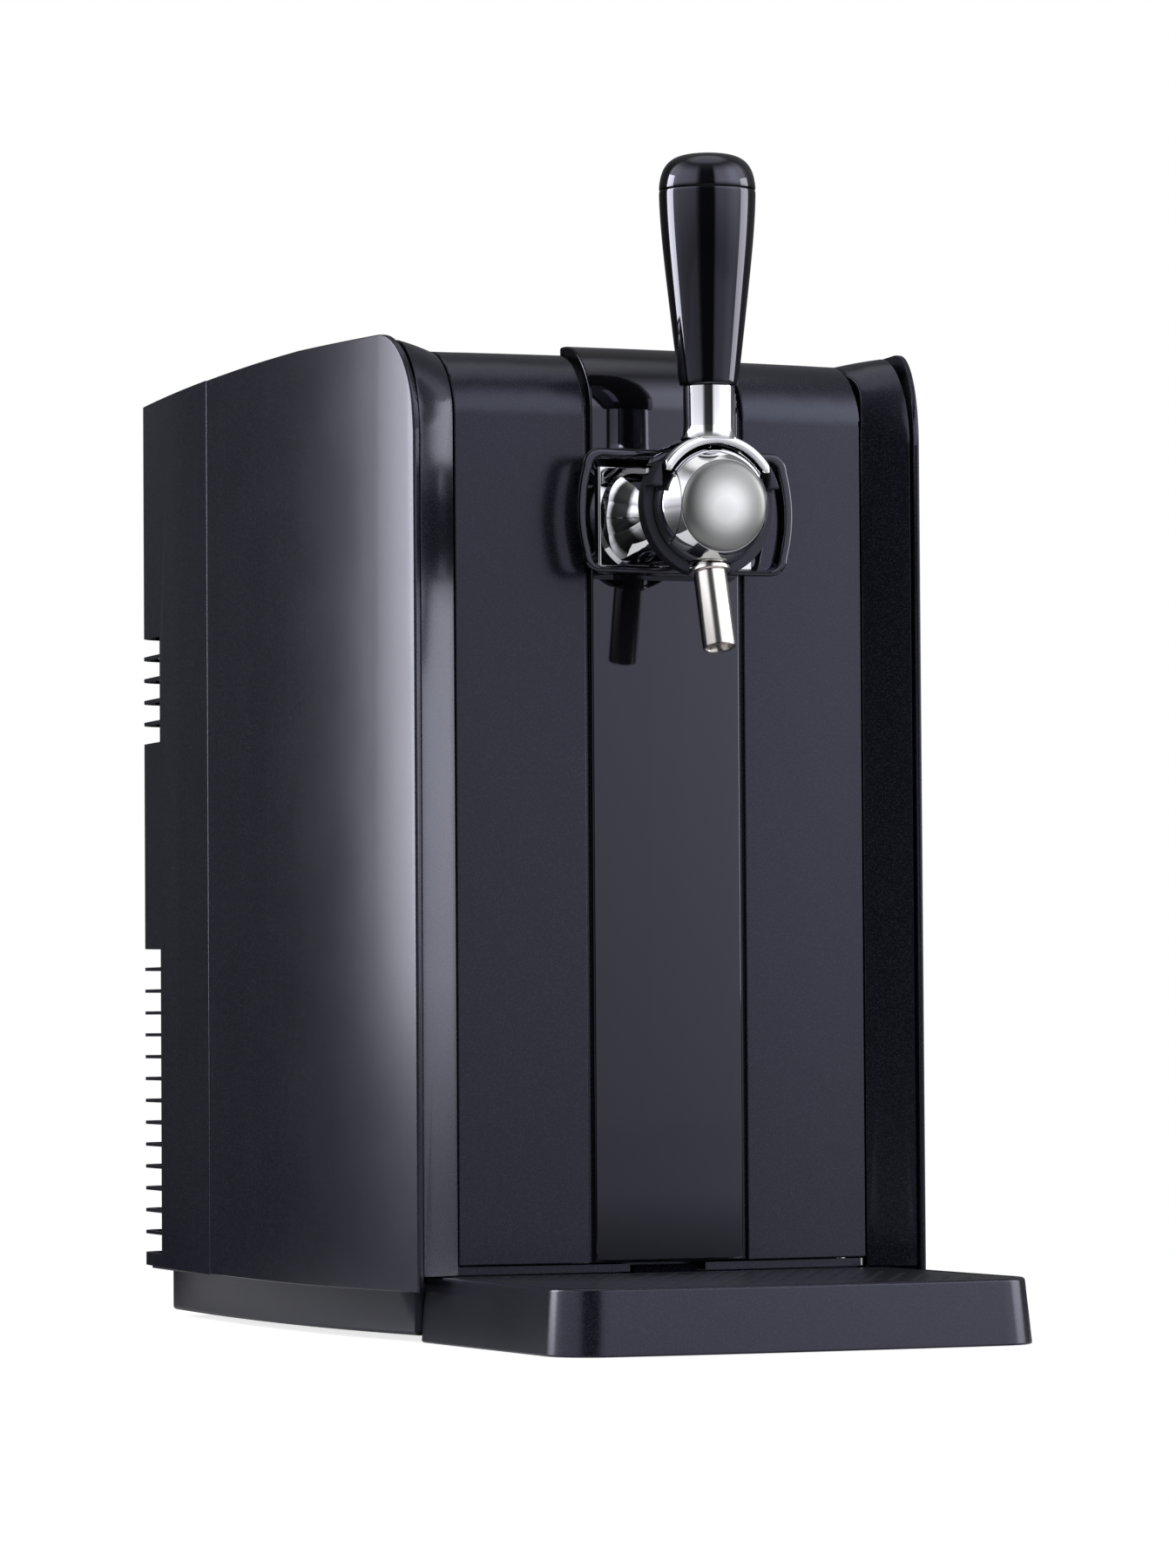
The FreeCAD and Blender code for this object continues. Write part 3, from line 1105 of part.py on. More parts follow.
def make_ball_shell():
    """Polished ball of the tap, hollow, with inner bosses for the lever's pin, open to the neck."""
    shell = ball(BALL_R, BALL_CENTRE).cut(ball_hollow())
    boss = tube(LEVER_HUB_R, LEVER_PIN_R, Vector(LEVER_HALF_THICK + 0.5, BALL_Y, TAP_Z), AXIS_X,
                BALL_R - LEVER_HALF_THICK - 2)
    boss = boss.common(ball(BALL_R - 0.5, BALL_CENTRE))
    shell = joined([shell, boss, mirrored(boss)])
    shell = shell.cut(rod(FAR, BALL_CENTRE + CAP_AXIS * CAP_DEPTH, CAP_AXIS, BALL_R)).cut(lever_slot())
    shell = shell.common(box(-FAR, FAR, -FAR, RING_BACK_Y, 0, FAR))
    pin = rod(LEVER_PIN_R, Vector(-BALL_R + 2, BALL_Y, TAP_Z), AXIS_X, 2 * BALL_R - 4)
    return one_solid(shell.cut(spout_rod(SPOUT_R, 20)).cut(pin).cut(ear_grooves()))


def make_ball_cap():
    """Satin dome in the ball's front, with the plug that holds it."""
    seat = BALL_CENTRE + CAP_AXIS * (CAP_DEPTH + 0.05)
    rise = CAP_DOME_R - math.sqrt(CAP_DOME_R ** 2 - CAP_R ** 2)
    dome = ball(CAP_DOME_R, seat + CAP_AXIS * (rise + 0.3 - CAP_DOME_R))
    dome = dome.common(rod(CAP_R, seat, CAP_AXIS, BALL_R))
    plug_r = math.sqrt((BALL_R - BALL_WALL) ** 2 - CAP_DEPTH ** 2) - 0.4
    return one_solid(joined([dome, rod(plug_r, seat, CAP_AXIS * -1, 2.6)]))


def make_lever_pin():
    """Pin that the lever turns on."""
    half = BALL_R - BALL_WALL - 1
    return rod(LEVER_PIN_R, Vector(-half, BALL_Y, TAP_Z), AXIS_X, 2 * half)


def make_spout():
    """Spout tube under the ball, leaning to the front."""
    return spout_rod(SPOUT_R).cut(spout_rod(SPOUT_BORE_R, 10))


def make_spout_collar():
    """Collar at the root of the spout."""
    root = SPOUT_END - SPOUT_AXIS * (SPOUT_LENGTH - 4.6)
    return tube(COLLAR_R, SPOUT_R, root, SPOUT_AXIS * -1, 2.2).cut(ball(BALL_R + 0.1, BALL_CENTRE))


def make_valve_slider():
    """Hollow slider in the neck that the lever pushes back to open the line."""
    front_y = BALL_Y + 5.4
    back_y = PLATE_FRONT_Y - 12.0
    return tube(SLIDER_BORE_R - 0.06, 4.2, Vector(0, front_y, TAP_Z), AXIS_Y, back_y - front_y)


def make_lever_yoke():
    """Chrome lever: saddle over the ball, stem with its stud, and the blade with its hub in the ball."""
    saddle = tube(YOKE_R, YOKE_INNER_R, Vector(0, YOKE_FRONT_Y, TAP_Z), AXIS_Y, YOKE_BACK_Y - YOKE_FRONT_Y)
    saddle = saddle.common(box(-YOKE_HALF_WIDTH, YOKE_HALF_WIDTH, -FAR, FAR, YOKE_BOTTOM, FAR))
    root_z = TAP_Z + YOKE_R - 2.2
    stem = rod(STEM_R, Vector(0, STEM_Y, root_z), AXIS_Z, STEM_TOP - root_z)
    flare = Part.makeCone(STEM_R + 2.2, STEM_R, 2.2, Vector(0, STEM_Y, TAP_Z + YOKE_R - 0.6), AXIS_Z)
    flare = flare.common(box(-FAR, FAR, YOKE_FRONT_Y, YOKE_BACK_Y, 0, FAR))
    lever = joined([saddle, stem, flare]).cut(ball(BALL_R + YOKE_CLEARANCE, BALL_CENTRE))
    t = LEVER_HALF_THICK
    reach = BALL_R + YOKE_CLEARANCE + 0.6
    bend = Vector(0, BALL_Y + 3.0, TAP_Z + 8.8)
    blade = prism([Vector(0, BALL_Y - 3.2, TAP_Z), Vector(0, BALL_Y + 3.4, TAP_Z), bend,
                   ball_point(BLADE_BACK, reach), ball_point(BLADE_FRONT, reach)], Vector(2 * t, 0, 0))
    blade.translate(Vector(-t, 0, 0))
    hub = rod(LEVER_HUB_R, Vector(-t, BALL_Y, TAP_Z), AXIS_X, 2 * t)
    toe = rod(2.0, Vector(-t, BALL_Y + 3.1, TAP_Z - 6), AXIS_X, 2 * t)
    lever = joined([lever, blade, hub, toe])
    bore = rod(LEVER_PIN_R + HINGE_CLEARANCE, Vector(-t - 1, BALL_Y, TAP_Z), AXIS_X, 2 * t + 2)
    stud = rod(STUD_R, Vector(0, STEM_Y, STEM_TOP - 2), AXIS_Z, STUD_LENGTH + 2)
    return one_solid(joined([lever.cut(bore), stud]))


def handle_turned(profile, top_z):
    """A turned form on the handle's axis, from (radius, height) points on a smooth curve."""
    curve = Part.BSplineCurve()
    points = [Vector(r, STEM_Y, z) for r, z in profile]
    curve.interpolate(points)
    low, high = profile[0][1], top_z
    edges = [line(Vector(0, STEM_Y, low), points[0]), curve.toShape()]
    if profile[-1][0] > 0.01:
        edges.append(line(points[-1], Vector(0, STEM_Y, high)))
    edges.append(line(Vector(0, STEM_Y, high), Vector(0, STEM_Y, low)))
    return Part.Face(Part.Wire(edges)).revolve(Vector(0, STEM_Y, 0), AXIS_Z, 360)


def make_handle_grip():
    """Glossy grip, wider towards its top."""
    rise = GRIP_TOP - STEM_TOP
    shares = [(0.606, 0.0), (0.645, 0.0367), (0.6995, 0.186), (0.7833, 0.3696), (0.862, 0.541),
              (0.941, 0.7246), (0.99, 0.8837), (1.0, 1.0)]
    profile = [(GRIP_R * r, STEM_TOP + rise * z) for r, z in shares]
    grip = handle_turned(profile, GRIP_TOP)
    return grip.cut(rod(STUD_R, Vector(0, STEM_Y, STEM_TOP - 1), AXIS_Z, STUD_LENGTH + 1))


def make_handle_cap():
    """Rounded cap of the grip."""
    low = GRIP_TOP + 0.25
    rise = HANDLE_TOP - low
    shares = [(1.0, 0.0), (0.99, 0.2131), (0.931, 0.5279), (0.8177, 0.7508), (0.6207, 0.9213),
              (0.3202, 0.9902), (0.0, 1.0)]
    profile = [(GRIP_R * r, low + rise * z) for r, z in shares]
    return handle_turned(profile, HANDLE_TOP)


# ---------------------------------------------------------------- drip tray
def tray_outline(inset, z, rear_y):
    """Closed outline of the tray at one height: bowed front, round front corners, straight sides."""
    half = TRAY_HALF_WIDTH - inset
    side_y = TRAY_FRONT_Y + inset * 1.25
    corner = TRAY_CORNER_R - inset * 0.6
    bow_half = half - corner
    centre_y = side_y - TRAY_BOW
    bow_r = (bow_half ** 2 + TRAY_BOW ** 2) / (2 * TRAY_BOW)
    tilt = math.asin(bow_half / bow_r) / 2
    k = math.radians(45) - tilt / 2
    corner_centre = Vector(half - corner, side_y + corner, z)
    right = [Vector(half, rear_y, z), Vector(half, side_y + corner, z),
             corner_centre + Vector(math.sin(k), -math.cos(k), 0) * corner, Vector(half - corner, side_y, z)]
    left = [Vector(-p.x, p.y, z) for p in right]
    return Part.Wire([line(right[0], right[1]), arc(right[1], right[2], right[3]),
                      arc(right[3], Vector(0, centre_y, z), left[3]), arc(left[3], left[2], left[1]),
                      line(left[1], left[0]), line(left[0], right[0])])


def tray_block(inset, low, high, rear_y):
    """Tapered block of the tray's outline between two heights."""
    def taper(z):
        return inset + TRAY_TAPER * z / TRAY_HEIGHT
    outlines = [tray_outline(taper(low), low, rear_y), tray_outline(taper(high), high, rear_y)]
    return Part.makeLoft(outlines, True, True)


def catch_post():
    """Post of the tray's catch on its rear ledge."""
    half = CATCH_HALF_WIDTH
    front_y = TRAY_REAR_Y - CATCH_DEPTH
    return box(-half, half, front_y, TRAY_REAR_Y - 0.6, TRAY_HEIGHT - 3, SILL_TOP - 0.8)


def make_drip_tray():
    """Tray with a basin, a seat for the grid, a catch and the tongue that slides into the plinth."""
    body = tray_block(0, TRAY_LIFT, TRAY_HEIGHT, TRAY_REAR_Y)
    bounds = [(edge, edge.BoundBox) for edge in body.Edges]
    crest = [edge for edge, b in bounds if b.ZMin > TRAY_HEIGHT - 0.01 and b.YMin < TRAY_REAR_Y - 5]
    body = body.makeFillet(1.6, crest)
    grid_low = TRAY_HEIGHT - GRID_THICK - 0.2
    ledge_y = TRAY_REAR_Y - TRAY_LEDGE
    seat = tray_block(TRAY_WALL, grid_low, TRAY_HEIGHT + 2, ledge_y)
    basin = tray_block(TRAY_WALL + 2.4, TRAY_LIFT + TRAY_FLOOR, TRAY_HEIGHT, ledge_y - 2.4)
    for side in (-1, 1):
        middle = side * ((TONGUE_HALF_WIDTH + TRAY_HALF_WIDTH) / 2 - 1.5)
        rear_y = TRAY_REAR_Y - TRAY_WALL
        body = body.cut(box(middle - 12, middle + 12, ledge_y + 1, rear_y, -1, TRAY_HEIGHT - 4))
    tongue = box(-TONGUE_HALF_WIDTH, TONGUE_HALF_WIDTH, TRAY_REAR_Y - 2, TRAY_REAR_Y + TONGUE_LENGTH,
                 TONGUE_BOTTOM, TONGUE_TOP)
    return one_solid(joined([body.cut(seat).cut(basin), tongue, catch_post()]))


def make_drip_grid():
    """Flat grid over the basin, with rows of round holes."""
    low = TRAY_HEIGHT - GRID_THICK - 0.2
    rear_y = TRAY_REAR_Y - TRAY_LEDGE - GRID_CLEARANCE
    plate = tray_block(TRAY_WALL + GRID_CLEARANCE, low, low + GRID_THICK, rear_y)
    holes = []
    row = 0
    y = rear_y - 6.0
    while y > TRAY_FRONT_Y + 14:
        shift = GRID_PITCH / 2 if row % 2 else 0.0
        count = int((TRAY_HALF_WIDTH - 22) / GRID_PITCH)
        for i in range(-count, count + 1):
            x = i * GRID_PITCH + shift
            if abs(x) < TRAY_HALF_WIDTH - 20:
                holes.append(rod(GRID_HOLE_R, Vector(x, y, low - 1), AXIS_Z, GRID_THICK + 2))
        y -= GRID_PITCH * math.sqrt(0.75)
        row += 1
    return one_solid(plate.cut(Part.makeCompound(holes)))


# ---------------------------------------------------------------- assembly
def parts():
    """Every piece by name."""
    return {
        "base_plinth": make_base_plinth(),
        "rubber_feet": make_rubber_feet(),
        "left_side_panel": mirrored(make_side_panel()),
        "right_side_panel": make_side_panel(),
        "left_cheek": mirrored(make_cheek(False)),
        "right_cheek": make_cheek(True),
        "top_cover": make_top_cover(),
        "rear_cover": make_rear_cover(),
        "front_sill": make_front_sill(),
        "chamber_frame": make_chamber_frame(),
        "chamber_liner": make_chamber_liner(),
        "insulation_jacket": make_insulation_jacket(),
        "keg_seat": make_keg_seat(),
        "bulkhead": make_bulkhead(),
        "cold_plate": cold_plate_block(0.0),
        "cooling_module": box(-PELTIER_HALF, PELTIER_HALF, PELTIER_Y, SINK_Y, COOLER_Z - PELTIER_HALF,
                              COOLER_Z + PELTIER_HALF),
        "heat_sink": make_heat_sink(),
        "fan_frame": make_fan_frame(),
        "fan_screws": make_fan_screws(),
        "fan_rotor": make_fan_rotor(),
        "temperature_probe": sensor_rod(),
        "power_supply": make_power_supply(),
        "board_standoffs": make_board_standoffs(),
        "control_board": make_control_board(),
        "air_pump": make_air_pump(),
        "air_hose": make_air_hose(),
        "air_nozzle": make_air_nozzle(),
        "power_inlet": make_power_inlet(),
        "switch_body": make_switch_body(),
        "switch_rocker": make_switch_rocker(),
        "cover_posts": make_cover_posts(),
        "rear_screws": make_rear_screws(),
        "display_window": make_display_window(),
        "display_board": make_display_board(),
        "catch_plate": make_catch_plate(),
        "lower_hinge": make_lower_hinge(),
        "upper_hinge": make_upper_hinge(),
        "door_shell": make_door_shell(),
        "centre_strip": make_centre_strip(),
        "door_foam": make_door_foam(),
        "door_liner": make_door_liner(),
        "door_gasket": make_door_gasket(),
        "door_bushes": make_door_bushes(),
        "door_magnet": magnet_block(),
        "tap_surround": make_tap_surround(),
        "tap_plate": make_tap_plate(),
        "tap_neck_upper": make_tap_neck(True),
        "tap_neck_lower": make_tap_neck(False),
        "tap_ring": make_tap_ring(),
        "ball_shell": make_ball_shell(),
        "ball_cap": make_ball_cap(),
        "lever_pin": make_lever_pin(),
        "spout": make_spout(),
        "spout_collar": make_spout_collar(),
        "valve_slider": make_valve_slider(),
        "lever_yoke": make_lever_yoke(),
        "handle_grip": make_handle_grip(),
        "handle_cap": make_handle_cap(),
        "drip_tray": make_drip_tray(),
        "drip_grid": make_drip_grid(),
    }


os.makedirs("parts", exist_ok=True)
for name, shape in parts().items():
    shape.exportStep("parts/" + name + ".step")
    print(name, len(shape.Solids), round(shape.Volume / 1000, 1), "cm3", shape.isValid())
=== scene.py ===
import bpy, bmesh, math
from mathutils import Matrix, Vector


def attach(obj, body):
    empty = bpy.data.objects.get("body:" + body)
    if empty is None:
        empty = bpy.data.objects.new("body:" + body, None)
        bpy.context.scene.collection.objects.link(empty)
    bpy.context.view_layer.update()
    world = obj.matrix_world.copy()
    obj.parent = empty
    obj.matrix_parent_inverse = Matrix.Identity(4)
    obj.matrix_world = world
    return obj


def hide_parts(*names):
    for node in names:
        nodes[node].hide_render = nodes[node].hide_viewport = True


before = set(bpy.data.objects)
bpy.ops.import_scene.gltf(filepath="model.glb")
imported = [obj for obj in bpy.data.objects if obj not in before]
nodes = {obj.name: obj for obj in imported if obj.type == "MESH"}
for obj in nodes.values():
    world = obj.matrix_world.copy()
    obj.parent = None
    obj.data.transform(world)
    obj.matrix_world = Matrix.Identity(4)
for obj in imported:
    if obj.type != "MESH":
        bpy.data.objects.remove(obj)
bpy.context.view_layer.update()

# ---- Camera -------------------------------------------------------------------------------------
# A long lens at about a quarter of the machine's height, to its left, that looks slightly upwards.
CAMERA_PLACE = (-1.11705, -2.53477, 0.13344)
CAMERA_YAW, CAMERA_PITCH, CAMERA_ROLL = 23.8401, 2.1345, -0.3737      # degrees
CAMERA_LENS, CAMERA_SENSOR = 146.17, 36                               # millimetres
CAMERA_REACH = 50
yaw, pitch, roll = (math.radians(a) for a in (CAMERA_YAW, CAMERA_PITCH, CAMERA_ROLL))
ahead = Vector((math.sin(yaw) * math.cos(pitch), math.cos(yaw) * math.cos(pitch), math.sin(pitch)))
level_right = Vector((math.cos(yaw), -math.sin(yaw), 0))
level_up = level_right.cross(ahead)
right = level_right * math.cos(roll) + level_up * math.sin(roll)
up = level_up * math.cos(roll) - level_right * math.sin(roll)
camera = bpy.data.objects.new("camera", bpy.data.cameras.new("camera"))
camera.data.lens = CAMERA_LENS
camera.data.sensor_width = CAMERA_SENSOR
camera.data.clip_end = CAMERA_REACH
camera.matrix_world = Matrix.Translation(CAMERA_PLACE) @ Matrix((right, up, -ahead)).transposed().to_4x4()
scene = bpy.context.scene
scene.collection.objects.link(camera)
scene.camera = camera
scene.view_settings.view_transform = "Standard"

# ---- Studio -------------------------------------------------------------------------------------
# White walls to the right and the left, a dark gap where the camera stands and a dark rear, with two
# tall soft lamps. Azimuths are counted from the front (-Y) towards the left (-X), in degrees.
WALL_TONES = ((-180, 0.08), (-100, 0.12), (-88, 0.35), (-78, 0.95), (-62, 1.15), (-50, 1.50), (-38, 1.45),
              (-28, 1.20), (-20, 1.02), (-4, 0.95), (3, 0.75), (9, 0.02), (42, 0.03), (49, 0.32), (54, 0.68),
              (72, 0.80), (96, 0.88), (110, 1.05), (134, 1.0), (140, 0.08), (150, 0.03), (180, 0.06))
WALL_TINT = (0.97, 0.98, 1.03)
# Bands of height: from and to, as the upward part of a direction, then the tones below and above.
LOW_WALL = (-0.10, 0.10, 0.45, 1.0)
HIGH_WALL = (0.10, 0.32, 1.0, 1.8)
WALLS_END = (0.5, 0.90, 0.0, 1.0)
OVERHEAD = (0.84, 0.97, 0.22, 1.1)    # the ceiling's tone, and the tone of a soft light in its middle
WHITE = (1, 1, 1, 1)


def graded(tree, value, low, high, low_tone=0.0, high_tone=1.0, curve="LINEAR"):
    """A value taken from one range to another."""
    grade = tree.nodes.new("ShaderNodeMapRange")
    grade.interpolation_type = curve
    for label, number in (("From Min", low), ("From Max", high), ("To Min", low_tone), ("To Max", high_tone)):
        grade.inputs[label].default_value = number
    tree.links.new(value, grade.inputs["Value"])
    return grade.outputs[0]


def worked_out(tree, operation, *terms):
    """One sum on sockets and numbers."""
    total = tree.nodes.new("ShaderNodeMath")
    total.operation = operation
    for socket, term in zip(total.inputs, terms):
        if isinstance(term, (int, float)):
            socket.default_value = term
        else:
            tree.links.new(term, socket)
    return total.outputs[0]


def blended(tree, share, first, second):
    """A colour between two others, each of them a socket or a colour."""
    mix = tree.nodes.new("ShaderNodeMix")
    mix.data_type = "RGBA"
    tree.links.new(share, mix.inputs["Factor"])
    for label, colour in (("A", first), ("B", second)):
        if isinstance(colour, tuple):
            mix.inputs[label].default_value = colour
        else:
            tree.links.new(colour, mix.inputs[label])
    return mix.outputs["Result"]


def toned(tree, value, tones, tint):
    """Tinted greys along a value, from (place, tone) pairs."""
    ramp = tree.nodes.new("ShaderNodeValToRGB")
    stops = ramp.color_ramp.elements
    while len(stops) < len(tones):
        stops.new(0.5)
    for stop, (place, tone) in zip(stops, tones):
        stop.position = place
        stop.color = (*(tone * part for part in tint), 1)
    tree.links.new(value, ramp.inputs[0])
    return ramp.outputs[0]


def walls_by_azimuth(tree, place):
    """Colour of the studio's walls in the direction of a place."""
    parts = tree.nodes.new("ShaderNodeSeparateXYZ")
    tree.links.new(place, parts.inputs[0])
    leftwards = worked_out(tree, "MULTIPLY", parts.outputs["X"], -1)
    forwards = worked_out(tree, "MULTIPLY", parts.outputs["Y"], -1)
    turn = worked_out(tree, "ARCTAN2", leftwards, forwards)
    share = graded(tree, turn, -math.pi, math.pi)
    return toned(tree, share, [((azimuth + 180) / 360, tone) for azimuth, tone in WALL_TONES], WALL_TINT)


world = bpy.data.worlds.new("studio")
scene.world = world
world.use_nodes = True
wt = world.node_tree
wt.nodes.clear()
direction = wt.nodes.new("ShaderNodeTexCoord").outputs["Generated"]
split = wt.nodes.new("ShaderNodeSeparateXYZ")
wt.links.new(direction, split.inputs[0])
rise = split.outputs["Z"]
low_wall, high_wall, walls_end, overhead = (graded(wt, rise, *band, curve="SMOOTHSTEP")
                                            for band in (LOW_WALL, HIGH_WALL, WALLS_END, OVERHEAD))
shaded = wt.nodes.new("ShaderNodeVectorMath")
shaded.operation = "SCALE"
wt.links.new(walls_by_azimuth(wt, direction), shaded.inputs[0])
wt.links.new(worked_out(wt, "MULTIPLY", low_wall, high_wall), shaded.inputs["Scale"])
room = blended(wt, walls_end, shaded.outputs[0], overhead)
paths = wt.nodes.new("ShaderNodeLightPath").outputs
direct = worked_out(wt, "MAXIMUM", paths["Is Camera Ray"], paths["Is Transmission Ray"])
sky = wt.nodes.new("ShaderNodeBackground")
wt.links.new(blended(wt, direct, room, WHITE), sky.inputs["Color"])
wt.links.new(sky.outputs[0], wt.nodes.new("ShaderNodeOutputWorld").inputs[0])


def soft_lamp(name, azimuth, distance, width, low, high, radiance):
    """A tall rectangular lamp that faces the machine."""
    lamp = bpy.data.lights.new(name, "AREA")
    lamp.shape = "RECTANGLE"
    lamp.size, lamp.size_y = width, high - low
    lamp.energy = radiance * math.pi * width * (high - low)
    holder = bpy.data.objects.new(name, lamp)
    a = math.radians(azimuth)
    place = Vector((-math.sin(a) * distance, -math.cos(a) * distance, (low + high) / 2))
    facing = Vector((-place.x, -place.y, 0)).to_track_quat("-Z", "Y")
    holder.matrix_world = Matrix.Translation(place) @ facing.to_matrix().to_4x4()
    scene.collection.objects.link(holder)


soft_lamp("lamp_right", -72, 1.9, 0.86, 0.12, 1.10, 3.9)
soft_lamp("lamp_left", 121.5, 1.6, 0.66, 0.14, 1.20, 8.5)

# ---- Ground -------------------------------------------------------------------------------------
# A small sheet of white paper under the machine, lifted to white where it is seen, and round it the dark
# ground of the room, which only reflections show. It lies a little lower and is paler further out.
FLOOR_HALF = 0.48
FLOOR_PLACE = (0.13, -0.22)
PAPER_TONE = 0.55
LIFT_SEEN, LIFT_IN_GLOSS = 0.78, 0.18
ROOM_HALF = 5.0
ROOM_DROP = 0.004
ROOM_NEAR, ROOM_NEAR_TONE = 0.55, 0.08
ROOM_FAR, ROOM_FAR_TONE = 2.4, 0.60


def ground(name, half, place, material):
    """A square sheet on the ground."""
    mesh = bpy.data.meshes.new(name)
    bm = bmesh.new()
    bmesh.ops.create_grid(bm, x_segments=1, y_segments=1, size=half)
    bmesh.ops.translate(bm, verts=bm.verts[:], vec=place)
    bm.to_mesh(mesh)
    bm.free()
    mesh.materials.append(material)
    sheet = bpy.data.objects.new(name, mesh)
    scene.collection.objects.link(sheet)
    return sheet


def plain_tree(name):
    """A new material with an empty node tree."""
    material = bpy.data.materials.new(name)
    material.use_nodes = True
    material.node_tree.nodes.clear()
    return material, material.node_tree


floor_material, ft = plain_tree("white_floor")
paper = ft.nodes.new("ShaderNodeBsdfDiffuse")
paper.inputs["Color"].default_value = (PAPER_TONE, PAPER_TONE, PAPER_TONE, 1)
paths = ft.nodes.new("ShaderNodeLightPath").outputs
direct = worked_out(ft, "ADD", paths["Is Camera Ray"], paths["Is Transmission Ray"])
in_gloss = worked_out(ft, "MULTIPLY", paths["Is Glossy Ray"], LIFT_IN_GLOSS)
lift = ft.nodes.new("ShaderNodeEmission")
ft.links.new(worked_out(ft, "MULTIPLY_ADD", direct, LIFT_SEEN, in_gloss), lift.inputs["Strength"])
lit_paper = ft.nodes.new("ShaderNodeAddShader")
ft.links.new(paper.outputs[0], lit_paper.inputs[0])
ft.links.new(lift.outputs[0], lit_paper.inputs[1])
ft.links.new(lit_paper.outputs[0], ft.nodes.new("ShaderNodeOutputMaterial").inputs[0])
ground("floor", FLOOR_HALF, (*FLOOR_PLACE, 0), floor_material)

room_material, gt = plain_tree("dark_ground")
ground_place = gt.nodes.new("ShaderNodeTexCoord").outputs["Object"]
distance = gt.nodes.new("ShaderNodeVectorMath")
distance.operation = "LENGTH"
gt.links.new(ground_place, distance.inputs[0])
glow = gt.nodes.new("ShaderNodeEmission")
gt.links.new(graded(gt, distance.outputs["Value"], ROOM_NEAR, ROOM_FAR, ROOM_NEAR_TONE, ROOM_FAR_TONE),
             glow.inputs["Strength"])
gt.links.new(walls_by_azimuth(gt, ground_place), glow.inputs["Color"])
gt.links.new(glow.outputs[0], gt.nodes.new("ShaderNodeOutputMaterial").inputs[0])
ground("room_ground", ROOM_HALF, (0, 0, -ROOM_DROP), room_material).visible_camera = False

# ---- Casing -------------------------------------------------------------------------------------
# Side panels, bands, top cover, sill and rear cover are moulded in charcoal plastic and sprayed with a
# satin lacquer that holds a very fine metallic flake. Their outer edges are slightly rounded.
FLOAT, COLOUR = "NodeSocketFloat", "NodeSocketColor"
FLAKE_SIZE = 2300.0             # grains to a metre
FLAKE_FEWEST, FLAKE_MOST = 0.62, 0.95
CLOUD_SIZE, CLOUD_DEPTH = 28, 0.05
SPRAY_SIZE = 1400
LACQUER_GLOSS, LACQUER_TINT = 0.56, (0.75, 0.765, 1.0, 1)
LACQUER_GRAIN, LACQUER_RELIEF = 0.00002, 0.09
SHARP_ANGLE = 40                # degrees; a flatter edge is a smooth run
EDGE_ROUND = 0.0006
FRONT, TOP, FOOT = Vector((0, -1, 0)), Vector((0, 0, 1)), Vector((0, 0, -1))
BAND_FOOT_Z = 0.030             # the bands' edges are eased above this
SEAM_BACK_Y = 0.1136            # just behind the rear cover's front edge


def shader(name):
    """A new material with its Principled BSDF."""
    material = bpy.data.materials.new(name)
    material.use_nodes = True
    return material, material.node_tree, material.node_tree.nodes["Principled BSDF"]


def speckled(tree, scale, detail=2):
    """Noise that is fixed to the piece."""
    noise = tree.nodes.new("ShaderNodeTexNoise")
    noise.inputs["Scale"].default_value = scale
    noise.inputs["Detail"].default_value = detail
    tree.links.new(tree.nodes.new("ShaderNodeTexCoord").outputs["Object"], noise.inputs["Vector"])
    return noise.outputs[0]


def raised_by(tree, surface, height, depth, strength):
    """Gives a surface a fine relief."""
    relief = tree.nodes.new("ShaderNodeBump")
    relief.inputs["Distance"].default_value = depth
    relief.inputs["Strength"].default_value = strength
    tree.links.new(height, relief.inputs["Height"])
    tree.links.new(relief.outputs[0], surface.inputs["Normal"])


def new_group(name, inputs, outputs):
    """An empty shader node group with named sockets."""
    group = bpy.data.node_groups.new(name, "ShaderNodeTree")
    for label, kind, value in inputs:
        socket = group.interface.new_socket(label, in_out="INPUT", socket_type=kind)
        socket.default_value = value
    for label, kind in outputs:
        group.interface.new_socket(label, in_out="OUTPUT", socket_type=kind)
    return group, group.nodes.new("NodeGroupInput"), group.nodes.new("NodeGroupOutput")


def make_flake_group():
    """Fine flake in a lacquer: a colour with bright grains, a mask of the grains and a fine height."""
    group, gin, gout = new_group(
        "lacquer_flake",
        [("Lacquer", COLOUR, (0.012, 0.012, 0.015, 1)), ("Flake", COLOUR, (0.2, 0.2, 0.23, 1)),
         ("Size", FLOAT, FLAKE_SIZE), ("Amount", FLOAT, 0.3), ("Roughness", FLOAT, 0.36)],
        [("Color", COLOUR), ("Mask", FLOAT), ("Roughness", FLOAT), ("Height", FLOAT)])
    link = group.links.new
    grains = group.nodes.new("ShaderNodeTexVoronoi")
    link(group.nodes.new("ShaderNodeTexCoord").outputs["Object"], grains.inputs["Vector"])
    link(gin.outputs["Size"], grains.inputs["Scale"])
    tint = group.nodes.new("ShaderNodeSeparateColor")
    link(grains.outputs["Color"], tint.inputs[0])
    picked = graded(group, tint.outputs["Red"], FLAKE_FEWEST, FLAKE_MOST)
    amount = worked_out(group, "MULTIPLY", picked, gin.outputs["Amount"])
    drift = worked_out(group, "MULTIPLY_ADD", speckled(group, CLOUD_SIZE, 3), CLOUD_DEPTH, -CLOUD_DEPTH / 2)
    link(blended(group, amount, gin.outputs["Lacquer"], gin.outputs["Flake"]), gout.inputs["Color"])
    link(amount, gout.inputs["Mask"])
    link(worked_out(group, "ADD", gin.outputs["Roughness"], drift), gout.inputs["Roughness"])
    link(speckled(group, SPRAY_SIZE), gout.inputs["Height"])
    return group


flake_group = make_flake_group()


